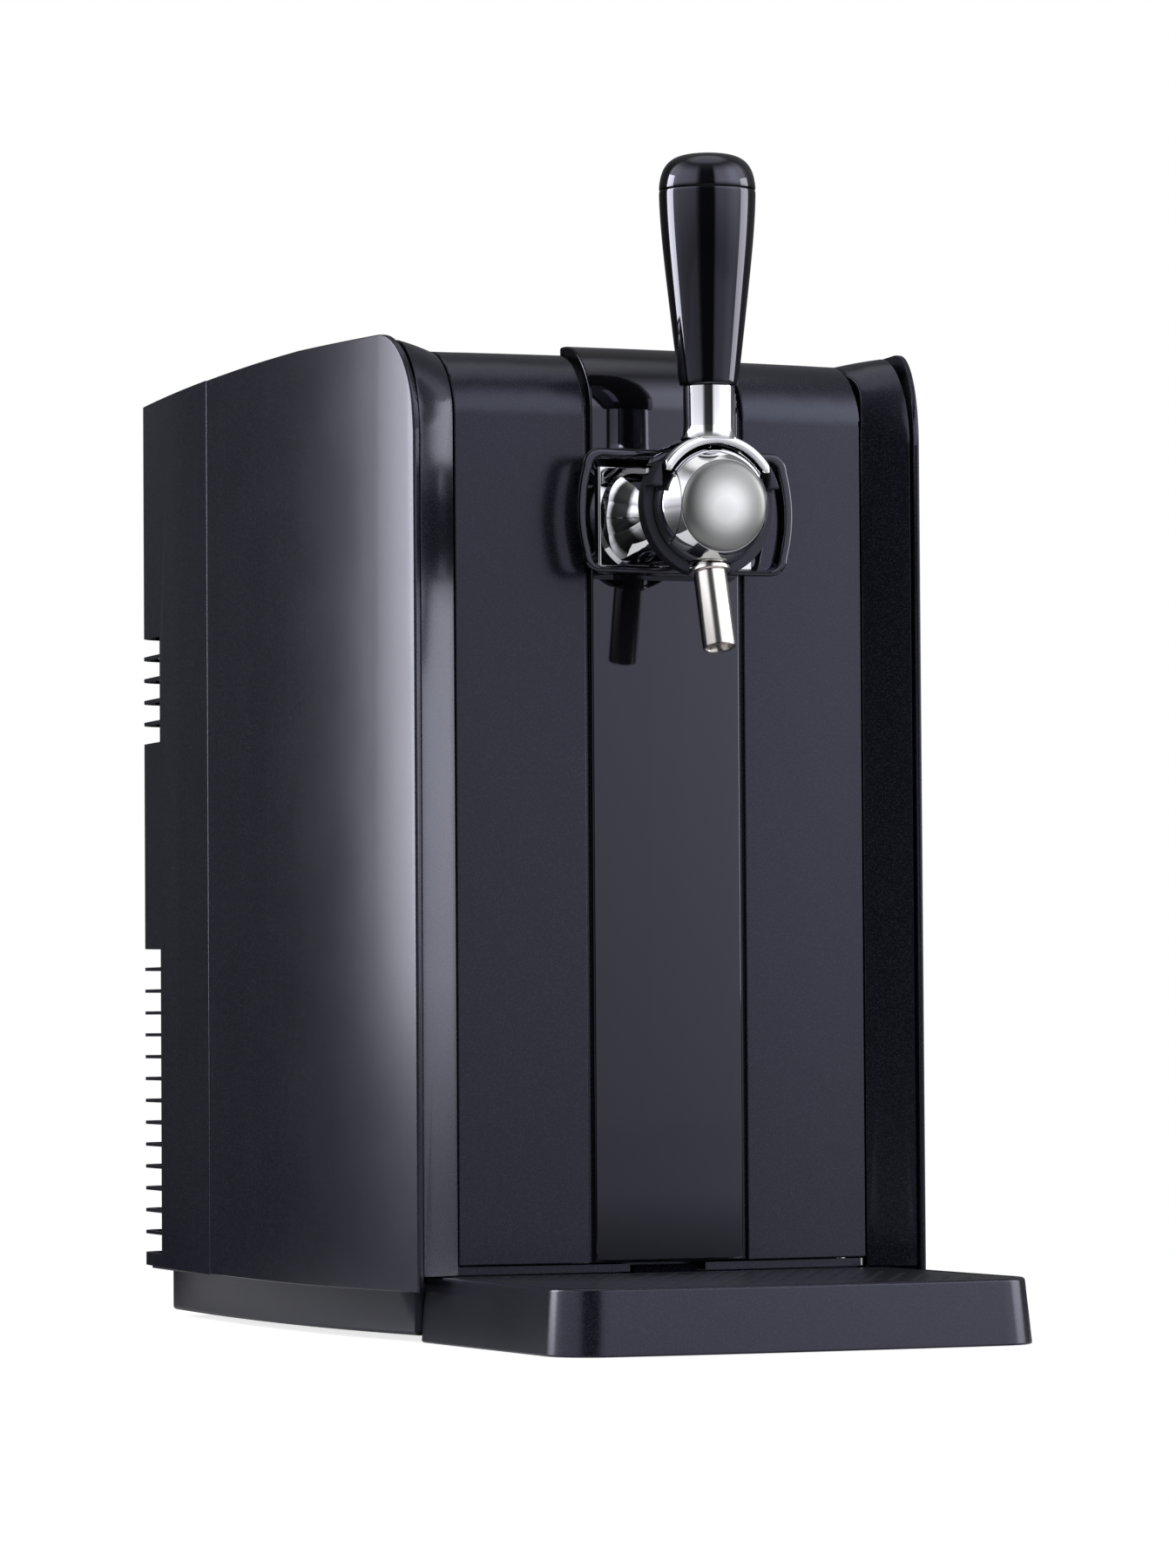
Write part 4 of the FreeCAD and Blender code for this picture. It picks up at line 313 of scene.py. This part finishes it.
def lacquered(name, lacquer, flake, amount, roughness):
    """A sprayed or plain plastic with flake: its colour, the grains' colour, their amount, its roughness."""
    material, tree, surface = shader(name)
    finish = tree.nodes.new("ShaderNodeGroup")
    finish.node_tree = flake_group
    finish.inputs["Lacquer"].default_value = (*lacquer, 1)
    finish.inputs["Flake"].default_value = (*flake, 1)
    finish.inputs["Amount"].default_value = amount
    finish.inputs["Roughness"].default_value = roughness
    tree.links.new(finish.outputs["Color"], surface.inputs["Base Color"])
    tree.links.new(finish.outputs["Mask"], surface.inputs["Metallic"])
    tree.links.new(finish.outputs["Roughness"], surface.inputs["Roughness"])
    raised_by(tree, surface, finish.outputs["Height"], LACQUER_GRAIN, LACQUER_RELIEF)
    surface.inputs["Specular Tint"].default_value = LACQUER_TINT
    surface.inputs["Specular IOR Level"].default_value = LACQUER_GLOSS
    return material


def dress(material, *names):
    """Puts a material on CAD nodes whose shape stays."""
    for name in names:
        slots = nodes[name].data.materials
        slots.clear()
        slots.append(material)


def finished(bm, name, body, slot, material, *replaced):
    """Makes a modelled mesh a piece that rides on its body and stands for CAD nodes."""
    mesh = bpy.data.meshes.new(name)
    bm.to_mesh(mesh)
    bm.free()
    mesh.polygons.foreach_set("use_smooth", [True] * len(mesh.polygons))
    mesh.set_sharp_from_angle(angle=math.radians(SHARP_ANGLE))
    mesh.materials.append(material)
    piece = bpy.data.objects.new(name, mesh)
    scene.collection.objects.link(piece)
    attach(piece, body)
    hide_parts(*replaced)
    return piece


def crisp_edges(bm, wanted=lambda place, normals: True):
    """The outer edges of a form that aren't smooth runs, where they are wanted."""
    crisp = [edge for edge in bm.edges if len(edge.link_faces) == 2 and edge.is_convex
             and edge.calc_face_angle() > math.radians(SHARP_ANGLE)]
    return [edge for edge in crisp if wanted((edge.verts[0].co + edge.verts[1].co) / 2,
                                             [face.normal for face in edge.link_faces])]


def rounded(bm, edges, width, steps):
    """Rounds edges off."""
    bmesh.ops.bevel(bm, geom=edges, offset=width, offset_type="OFFSET", segments=steps, profile=0.5,
                    affect="EDGES", clamp_overlap=False, material=-1)


def eased(name, width, body, slot, material, wanted, steps=2):
    """A copy of a moulding whose wanted outer edges are rounded off, so that they catch the light."""
    bm = bmesh.new()
    bm.from_mesh(nodes[name].data)
    bmesh.ops.remove_doubles(bm, verts=bm.verts[:], dist=0.000002)
    for face in bm.faces:
        face.material_index = 0
    rounded(bm, crisp_edges(bm, wanted), width, steps)
    piece = finished(bm, name + "_moulding", body, slot, material, name)
    even = piece.modifiers.new("even_normals", "WEIGHTED_NORMAL")
    even.keep_sharp = True
    even.weight = 90
    return piece


def towards(normals, *sides):
    """Whether a face beside an edge looks to one of these sides."""
    return any(normal.dot(side) > 0.5 for normal in normals for side in sides)


charcoal = lacquered("charcoal_lacquer", (0.0070, 0.0074, 0.0115), (0.13, 0.13, 0.18), 0.14, 0.22)
dress(charcoal, "top_cover", "front_sill")
for side, outwards in (("left", Vector((-1, 0, 0))), ("right", Vector((1, 0, 0)))):
    eased(side + "_side_panel", EDGE_ROUND, "cabinet", "charcoal_plastic", charcoal,
          lambda place, normals, outwards=outwards: towards(normals, outwards))
    eased(side + "_cheek", EDGE_ROUND, "cabinet", "charcoal_plastic", charcoal,
          lambda place, normals: towards(normals, FRONT, TOP) and place.z > BAND_FOOT_Z)
eased("rear_cover", EDGE_ROUND, "cabinet", "charcoal_plastic", charcoal,
      lambda place, normals: place.y < SEAM_BACK_Y and not all(abs(n.x) > 0.5 for n in normals))

# ---- Base ---------------------------------------------------------------------------------------
# The set-back plinth is moulded in an unpainted grey plastic. The lower edges of its sides are rounded.
PLINTH_ROUND = 0.0016
PLINTH_FOOT_Z, PLINTH_SIDE_X = 0.0035, 0.09
base_grey = lacquered("base_plastic", (0.0055, 0.0055, 0.0070), (0.05, 0.05, 0.06), 0.10, 0.42)
eased("base_plinth", PLINTH_ROUND, "cabinet", "base_grey", base_grey,
      lambda place, normals: place.z < PLINTH_FOOT_Z and abs(place.x) > PLINTH_SIDE_X, 3)

# ---- Door ---------------------------------------------------------------------------------------
# The door's skin has the casing's lacquer. Its side edges, its foot and the channel for the strip are
# eased where they show from the front.
DOOR_SKIN_BACK_Y = -0.06
eased("door_shell", EDGE_ROUND, "door", "charcoal_plastic", charcoal,
      lambda place, normals: towards(normals, FRONT, TOP) and place.y < DOOR_SKIN_BACK_Y)

# ---- Drip tray ----------------------------------------------------------------------------------
# A deep one-piece tray in the casing's lacquer. Its lower rim is eased in front of the cabinet.
TRAY_ROUND = 0.0008
TRAY_FOOT_Z, TRAY_SHOWS_Y = 0.002, -0.08
eased("drip_tray", TRAY_ROUND, "tray", "charcoal_plastic", charcoal,
      lambda place, normals: place.y < TRAY_SHOWS_Y and place.z < TRAY_FOOT_Z and towards(normals, FOOT), 3)

# ---- Centre strip and tap surround --------------------------------------------------------------
# Piano-black mouldings with a clear, hard surface. The strip lies in the door's channel, and the
# surround stands in front of it, round the tap's plate.
GLOSS_LEVEL, GLOSS_TINT = 0.78, (0.79, 0.80, 1.0, 1)
PEEL_SIZE, PEEL_GRAIN, PEEL_RELIEF = 260, 0.00001, 0.05
STRIP_ROUND = 0.0010
SURROUND_ROUND, SURROUND_SHOWS_Y = 0.0007, -0.09


def glossy(name, colour, roughness):
    """High-gloss moulding with a faint orange peel."""
    material, tree, surface = shader(name)
    surface.inputs["Base Color"].default_value = (*colour, 1)
    surface.inputs["Specular IOR Level"].default_value = GLOSS_LEVEL
    surface.inputs["Specular Tint"].default_value = GLOSS_TINT
    peel = speckled(tree, PEEL_SIZE)
    tree.links.new(graded(tree, peel, 0, 1, roughness * 0.7, roughness * 1.3), surface.inputs["Roughness"])
    raised_by(tree, surface, peel, PEEL_GRAIN, PEEL_RELIEF)
    return material


piano_black = glossy("piano_black", (0.0035, 0.0035, 0.0045), 0.045)
eased("centre_strip", STRIP_ROUND, "door", "gloss_black", piano_black,
      lambda place, normals: towards(normals, FRONT, TOP), 3)
eased("tap_surround", SURROUND_ROUND, "door", "gloss_black", piano_black,
      lambda place, normals: place.y < SURROUND_SHOWS_Y, 3)

# ---- Grip ---------------------------------------------------------------------------------------
# A turned grip in piano black, wider towards its top, with a separate rounded cap above a fine joint.
# It is screwed on to the lever's stud. Both profiles are shares of its radius and of each part's height.
GRIP_FOOT, GRIP_JOINT, GRIP_END = 0.3978, 0.4795, 0.4950
GRIP_JOINT_GAP = 0.00006
GRIP_AXIS_Y = -0.1340
GRIP_WIDE = 0.0203
GRIP_PROFILE = ((0, 0), (0.30, 0), (0.56, 0), (0.592, 0.002), (0.606, 0.010), (0.622, 0.030), (0.6995, 0.186),
                (0.7833, 0.3696), (0.862, 0.541), (0.941, 0.7246), (0.99, 0.8837), (1.001, 0.972),
                (1.0, 0.992), (0.993, 0.9985), (0.94, 1.0), (0.5, 1.0), (0, 1.0))
CAP_PROFILE = ((0, 0), (0.5, 0), (0.94, 0), (0.993, 0.006), (1.0, 0.04), (1.0, 0.10), (0.985, 0.28),
               (0.938, 0.53), (0.83, 0.765), (0.63, 0.935), (0.33, 0.995), (0.12, 1.0), (0, 1.0))


def turned(profile, steps):
    """A closed form turned about Z from (radius, height) points."""
    bm = bmesh.new()
    points = [bm.verts.new((radius, 0, height)) for radius, height in profile]
    for low, high in zip(points, points[1:]):
        bm.edges.new((low, high))
    bmesh.ops.spin(bm, geom=bm.verts[:] + bm.edges[:], cent=(0, 0, 0), axis=(0, 0, 1), angle=2 * math.pi,
                   steps=steps, use_merge=True)
    bmesh.ops.remove_doubles(bm, verts=bm.verts[:], dist=0.000002)
    bmesh.ops.recalc_face_normals(bm, faces=bm.faces[:])
    return bm


def softened(piece):
    """Subdivides a turned piece until its outline is smooth."""
    smooth = piece.modifiers.new("smooth_form", "SUBSURF")
    smooth.levels = smooth.render_levels = 2


for name, shares, low, high in (("handle_grip", GRIP_PROFILE, GRIP_FOOT, GRIP_JOINT),
                                ("handle_cap", CAP_PROFILE, GRIP_JOINT + GRIP_JOINT_GAP, GRIP_END)):
    bm = turned([(GRIP_WIDE * radius, low + (high - low) * rise) for radius, rise in shares], 32)
    bmesh.ops.translate(bm, verts=bm.verts[:], vec=(0, GRIP_AXIS_Y, 0))
    softened(finished(bm, name + "_turned", "tap_lever", "gloss_black", piano_black, name))

# ---- Plate, neck and ball -----------------------------------------------------------------------
# Cast and polished parts with bright chrome plating. The neck is in two halves, and holds the ball's
# shell in front of the plate.
WIPING_SIZE = 90


def metal(name, colour, roughness, spread):
    """Plated or bare metal with faint wiping marks."""
    material, tree, surface = shader(name)
    surface.inputs["Base Color"].default_value = (*colour, 1)
    surface.inputs["Metallic"].default_value = 1.0
    haze = graded(tree, speckled(tree, WIPING_SIZE, 6), 0, 1, roughness - spread, roughness + spread)
    tree.links.new(haze, surface.inputs["Roughness"])
    return material


chrome = metal("polished_chrome", (0.82, 0.82, 0.84), 0.035, 0.02)
dress(chrome, "tap_plate", "tap_neck_upper", "tap_neck_lower", "ball_shell")

# ---- Lever --------------------------------------------------------------------------------------
# One polished casting: a saddle that sits over the ball, the round stem that holds the grip, and the
# blade that goes down through the ball's slot to its pin. Outlines are in millimetres from the pin.
TAP_CENTRE = Vector((0, -0.1315, 0.3480))
SADDLE_SECTION = ((-11.5, 25.2), (-11.5, 28.4), (-10.7, 29.3), (8.9, 29.3), (9.5, 28.7), (9.5, 25.2),
                  (8.5, 25.2), (4.5, 26.22), (0, 26.6), (-4.5, 26.22), (-8.5, 25.2))
SADDLE_SPREAD = 66              # degrees to each side, before its ends are cut
SADDLE_HALF_WIDTH, SADDLE_FOOT = 0.0236, 0.0133
SADDLE_ROUND, BLADE_ROUND = 0.0004, 0.0003
STEM_PROFILE = ((0, 27.4), (8, 27.4), (11.9, 27.4), (12.1, 27.8), (11.5, 28.9), (10.95, 30.6), (10.7, 33),
                (10.7, 49.4), (10.3, 49.8), (5, 49.8), (0, 49.8))
BLADE_OUTLINE = ((3.2, 0), (-3.4, 0), (-3.0, 8.8), (-9.3, 25.56), (-4.0, 26.9))    # to the front, upwards
BLADE_HALF = 0.0030
HUB_R = 0.005


def in_metres(outline):
    """An outline in millimetres, in metres."""
    return [(first / 1000, second / 1000) for first, second in outline]


bm = bmesh.new()
section = [bm.verts.new((0, y, z)) for y, z in in_metres(SADDLE_SECTION)]
ring = [bm.edges.new(pair) for pair in zip(section, section[1:] + section[:1])]
spread = math.radians(SADDLE_SPREAD)
bmesh.ops.rotate(bm, verts=section, cent=(0, 0, 0), matrix=Matrix.Rotation(-spread, 3, "Y"))
bmesh.ops.spin(bm, geom=section + ring, cent=(0, 0, 0), axis=(0, 1, 0), angle=2 * spread, steps=56)
for plane, outwards in (((0, 0, SADDLE_FOOT), FOOT), ((SADDLE_HALF_WIDTH, 0, 0), (1, 0, 0)),
                        ((-SADDLE_HALF_WIDTH, 0, 0), (-1, 0, 0))):
    cut = bmesh.ops.bisect_plane(bm, geom=bm.verts[:] + bm.edges[:] + bm.faces[:], plane_co=plane,
                                 plane_no=outwards, clear_outer=True)["geom_cut"]
    bmesh.ops.edgeloop_fill(bm, edges=[part for part in cut if isinstance(part, bmesh.types.BMEdge)])
bmesh.ops.recalc_face_normals(bm, faces=bm.faces[:])
rounded(bm, crisp_edges(bm), SADDLE_ROUND, 2)
stem = turned(in_metres(STEM_PROFILE), 72)
bmesh.ops.translate(stem, verts=stem.verts[:], vec=(0, GRIP_AXIS_Y - TAP_CENTRE.y, 0))
blade = bmesh.new()
outline = blade.faces.new([blade.verts.new((-BLADE_HALF, -y, z)) for y, z in in_metres(BLADE_OUTLINE)])
raised = bmesh.ops.extrude_face_region(blade, geom=[outline])["geom"]
bmesh.ops.translate(blade, verts=[part for part in raised if isinstance(part, bmesh.types.BMVert)],
                    vec=(2 * BLADE_HALF, 0, 0))
bmesh.ops.recalc_face_normals(blade, faces=blade.faces[:])
rounded(blade, blade.edges[:], BLADE_ROUND, 2)
bmesh.ops.create_cone(blade, cap_ends=True, segments=40, radius1=HUB_R, radius2=HUB_R, depth=2 * BLADE_HALF,
                      matrix=Matrix.Rotation(math.pi / 2, 4, "Y"))
for part in (stem, blade):
    carrier = bpy.data.meshes.new("carrier")
    part.to_mesh(carrier)
    part.free()
    bm.from_mesh(carrier)
    bpy.data.meshes.remove(carrier)
bmesh.ops.translate(bm, verts=bm.verts[:], vec=TAP_CENTRE)
finished(bm, "lever_casting", "tap_lever", "chrome", chrome, "lever_yoke")

# ---- Ball cap -----------------------------------------------------------------------------------
# A satin disc pressed into the ball, nearly flat in the middle and rolled over at its rim. It is
# spun on a lathe, so that its fine marks run round its axis. Its colour holds a painted highlight:
# palest near its middle and darker towards the rim.
CAP_TILT = 4                    # degrees that it looks down
CAP_SET_OUT = 0.01695           # from the middle of the ball to its seat
DISC_PROFILE = ((0, 4.70), (2, 4.68), (6, 4.52), (10, 4.14), (13.5, 3.52), (16, 2.82), (17.6, 2.08),
                (18.7, 1.25), (19.25, 0.45), (19.3, 0.0), (16, 0.0), (15.6, -0.3), (15.6, -2.3), (15.2, -2.6),
                (0, -2.6))
# Tones of the base colour from the middle out to the rim: a painted highlight, not the metal's own shade.
DISC_PAINTED_HIGHLIGHT_TONES = ((0.0, 1.0), (0.28, 0.97), (0.46, 0.72), (0.57, 0.52), (0.67, 0.37), (0.77, 0.28), (0.88, 0.23),
              (1.0, 0.30))
DISC_TINT = (1, 1, 0.985)
DISC_R = 0.0194
# Where the painted highlight is palest, measured from the middle of the disc.
PAINTED_HIGHLIGHT_SPOT = Vector((-0.0010, 0, -0.0016))      # from the middle of the disc
DISC_METALLIC = 0.75
RING_SIZE, RING_GRAIN, RING_RELIEF = 7000, 0.000004, 0.3
DISC_SMOOTHEST, DISC_ROUGHEST = 0.34, 0.42
cap_axis = Vector((0, -math.cos(math.radians(CAP_TILT)), -math.sin(math.radians(CAP_TILT))))
cap_seat = TAP_CENTRE + cap_axis * CAP_SET_OUT
spun_satin, st, surface = shader("spun_satin")
surface.inputs["Metallic"].default_value = DISC_METALLIC
centred = st.nodes.new("ShaderNodeMapping")
centred.inputs["Location"].default_value = -cap_seat - PAINTED_HIGHLIGHT_SPOT
st.links.new(st.nodes.new("ShaderNodeTexCoord").outputs["Object"], centred.inputs["Vector"])
across = st.nodes.new("ShaderNodeVectorMath")
across.operation = "MULTIPLY"
across.inputs[1].default_value = (1, 0, 1)
st.links.new(centred.outputs[0], across.inputs[0])
radius = st.nodes.new("ShaderNodeVectorMath")
radius.operation = "LENGTH"
st.links.new(across.outputs[0], radius.inputs[0])
# The base colour is a painted highlight, which fades with the distance from its palest spot.
painted_highlight_reach = graded(st, radius.outputs["Value"], 0, DISC_R)
st.links.new(toned(st, painted_highlight_reach, DISC_PAINTED_HIGHLIGHT_TONES, DISC_TINT), surface.inputs["Base Color"])
rings = st.nodes.new("ShaderNodeTexNoise")
rings.noise_dimensions = "1D"
rings.inputs["Scale"].default_value = RING_SIZE
rings.inputs["Detail"].default_value = 3
st.links.new(radius.outputs["Value"], rings.inputs["W"])
st.links.new(graded(st, rings.outputs[0], 0, 1, DISC_SMOOTHEST, DISC_ROUGHEST), surface.inputs["Roughness"])
raised_by(st, surface, rings.outputs[0], RING_GRAIN, RING_RELIEF)
bm = turned(in_metres(DISC_PROFILE), 40)
bmesh.ops.transform(bm, verts=bm.verts[:], matrix=Matrix.Translation(cap_seat)
                    @ Matrix.Rotation(math.radians(90 + CAP_TILT), 4, "X"))
softened(finished(bm, "dome_disc", "door", "satin_metal", spun_satin, "ball_cap"))

# ---- Spout --------------------------------------------------------------------------------------
# A brushed nickel tube that leans to the front, with an open chamfered mouth and a bead at its root.
# Profiles are in millimetres, from the mouth upwards.
SPOUT_MOUTH = Vector((0, -0.1430, 0.2879))
SPOUT_LEAN = 16
SPOUT_TUBE = ((0, 10.0), (5.5, 10.0), (5.5, 0.9), (5.9, 0.15), (6.4, 0.0), (6.8, 0.2), (7.0, 0.8),
              (7.0, 37.5), (0, 37.5))
SPOUT_BEAD = ((7.0, 32.9), (8.1, 32.9), (8.7, 33.3), (8.8, 34.0), (8.7, 34.7), (8.1, 35.1), (7.0, 35.1),
              (7.0, 32.9))
nickel = metal("brushed_nickel", (0.80, 0.76, 0.72), 0.20, 0.04)
lean = Matrix.Translation(SPOUT_MOUTH) @ Matrix.Rotation(math.radians(-SPOUT_LEAN), 4, "X")
for name, profile in (("spout", SPOUT_TUBE), ("spout_collar", SPOUT_BEAD)):
    bm = turned(in_metres(profile), 64)
    bmesh.ops.transform(bm, verts=bm.verts[:], matrix=lean)
    finished(bm, name + "_turned", "door", "satin_metal", nickel, name)

# ---- Black fittings -----------------------------------------------------------------------------
# Plain black mouldings: the ring between the ball and the neck, which is rounded all over, the fan,
# the inlet and the switch at the rear, the air pump, and small bushes and pillars.
RING_ROUND = 0.0006
plain_black = lacquered("black_moulding", (0.008, 0.008, 0.009), (0.02, 0.02, 0.02), 0.1, 0.5)
eased("tap_ring", RING_ROUND, "door", "black_plastic", plain_black, lambda place, normals: True)
dress(plain_black, "fan_frame", "fan_rotor", "power_inlet", "switch_body", "switch_rocker", "air_pump",
      "door_bushes", "valve_slider", "board_standoffs")

# ---- Drip grid ----------------------------------------------------------------------------------
# A flat black plastic plate with rows of round holes, laid loose in the tray. Its top edges and the
# rims of its holes are rounded.
GRID_ROUND = 0.00025
grid_plastic = lacquered("grid_plastic", (0.010, 0.010, 0.011), (0.05, 0.05, 0.055), 0.15, 0.36)
eased("drip_grid", GRID_ROUND, "grid", "grid_dark", grid_plastic,
      lambda place, normals: towards(normals, TOP))

# ---- Chamber and its insulation -----------------------------------------------------------------
# Pale plastic lines the chamber and the door's inner face. Yellow foam is poured behind it, and a
# rubber seal runs round the door. The feet and the air hose are rubber too.
liner_plastic = lacquered("liner_plastic", (0.52, 0.53, 0.54), (0.6, 0.6, 0.6), 0.1, 0.34)
dress(liner_plastic, "chamber_liner", "chamber_frame", "keg_seat", "door_liner")
foam = lacquered("foam", (0.62, 0.52, 0.30), (0.7, 0.6, 0.4), 0.3, 0.85)
dress(foam, "insulation_jacket", "door_foam")
rubber = lacquered("rubber", (0.012, 0.012, 0.012), (0.02, 0.02, 0.02), 0.1, 0.7)
dress(rubber, "rubber_feet", "door_gasket", "air_hose")

# ---- Cooling and electrics ----------------------------------------------------------------------
# A ceramic cooling module is clamped between two aluminium parts. The bulkhead and the supply's case
# are painted steel, and the boards are green laminate.
aluminium = metal("extruded_aluminium", (0.70, 0.70, 0.71), 0.30, 0.05)
dress(aluminium, "cold_plate", "heat_sink")
plate_paint = lacquered("plate_paint", (0.18, 0.18, 0.19), (0.25, 0.25, 0.26), 0.2, 0.5)
dress(plate_paint, "bulkhead", "power_supply")
ceramic = lacquered("ceramic", (0.72, 0.70, 0.66), (0.8, 0.8, 0.76), 0.2, 0.6)
dress(ceramic, "cooling_module")
circuit = lacquered("circuit_board", (0.01, 0.09, 0.03), (0.3, 0.28, 0.12), 0.2, 0.4)
dress(circuit, "control_board", "display_board")

# ---- Small metal fittings -----------------------------------------------------------------------
# The pin, hinges, screws, pillars, catch plate, probe, magnet and nozzle are metal with a satin plating.
# They are pressed in or screwed on where they are used.
satin_chrome = metal("satin_chrome", (0.66, 0.66, 0.67), 0.30, 0.03)
dress(satin_chrome, "lever_pin", "lower_hinge", "upper_hinge", "catch_plate", "rear_screws", "fan_screws",
      "cover_posts", "temperature_probe", "door_magnet", "air_nozzle")

# ---- Display window -----------------------------------------------------------------------------
# A small window of smoked acrylic, glued into the top cover over the display board.
smoked = glossy("smoked_window", (0.006, 0.006, 0.008), 0.04)
dress(smoked, "display_window")
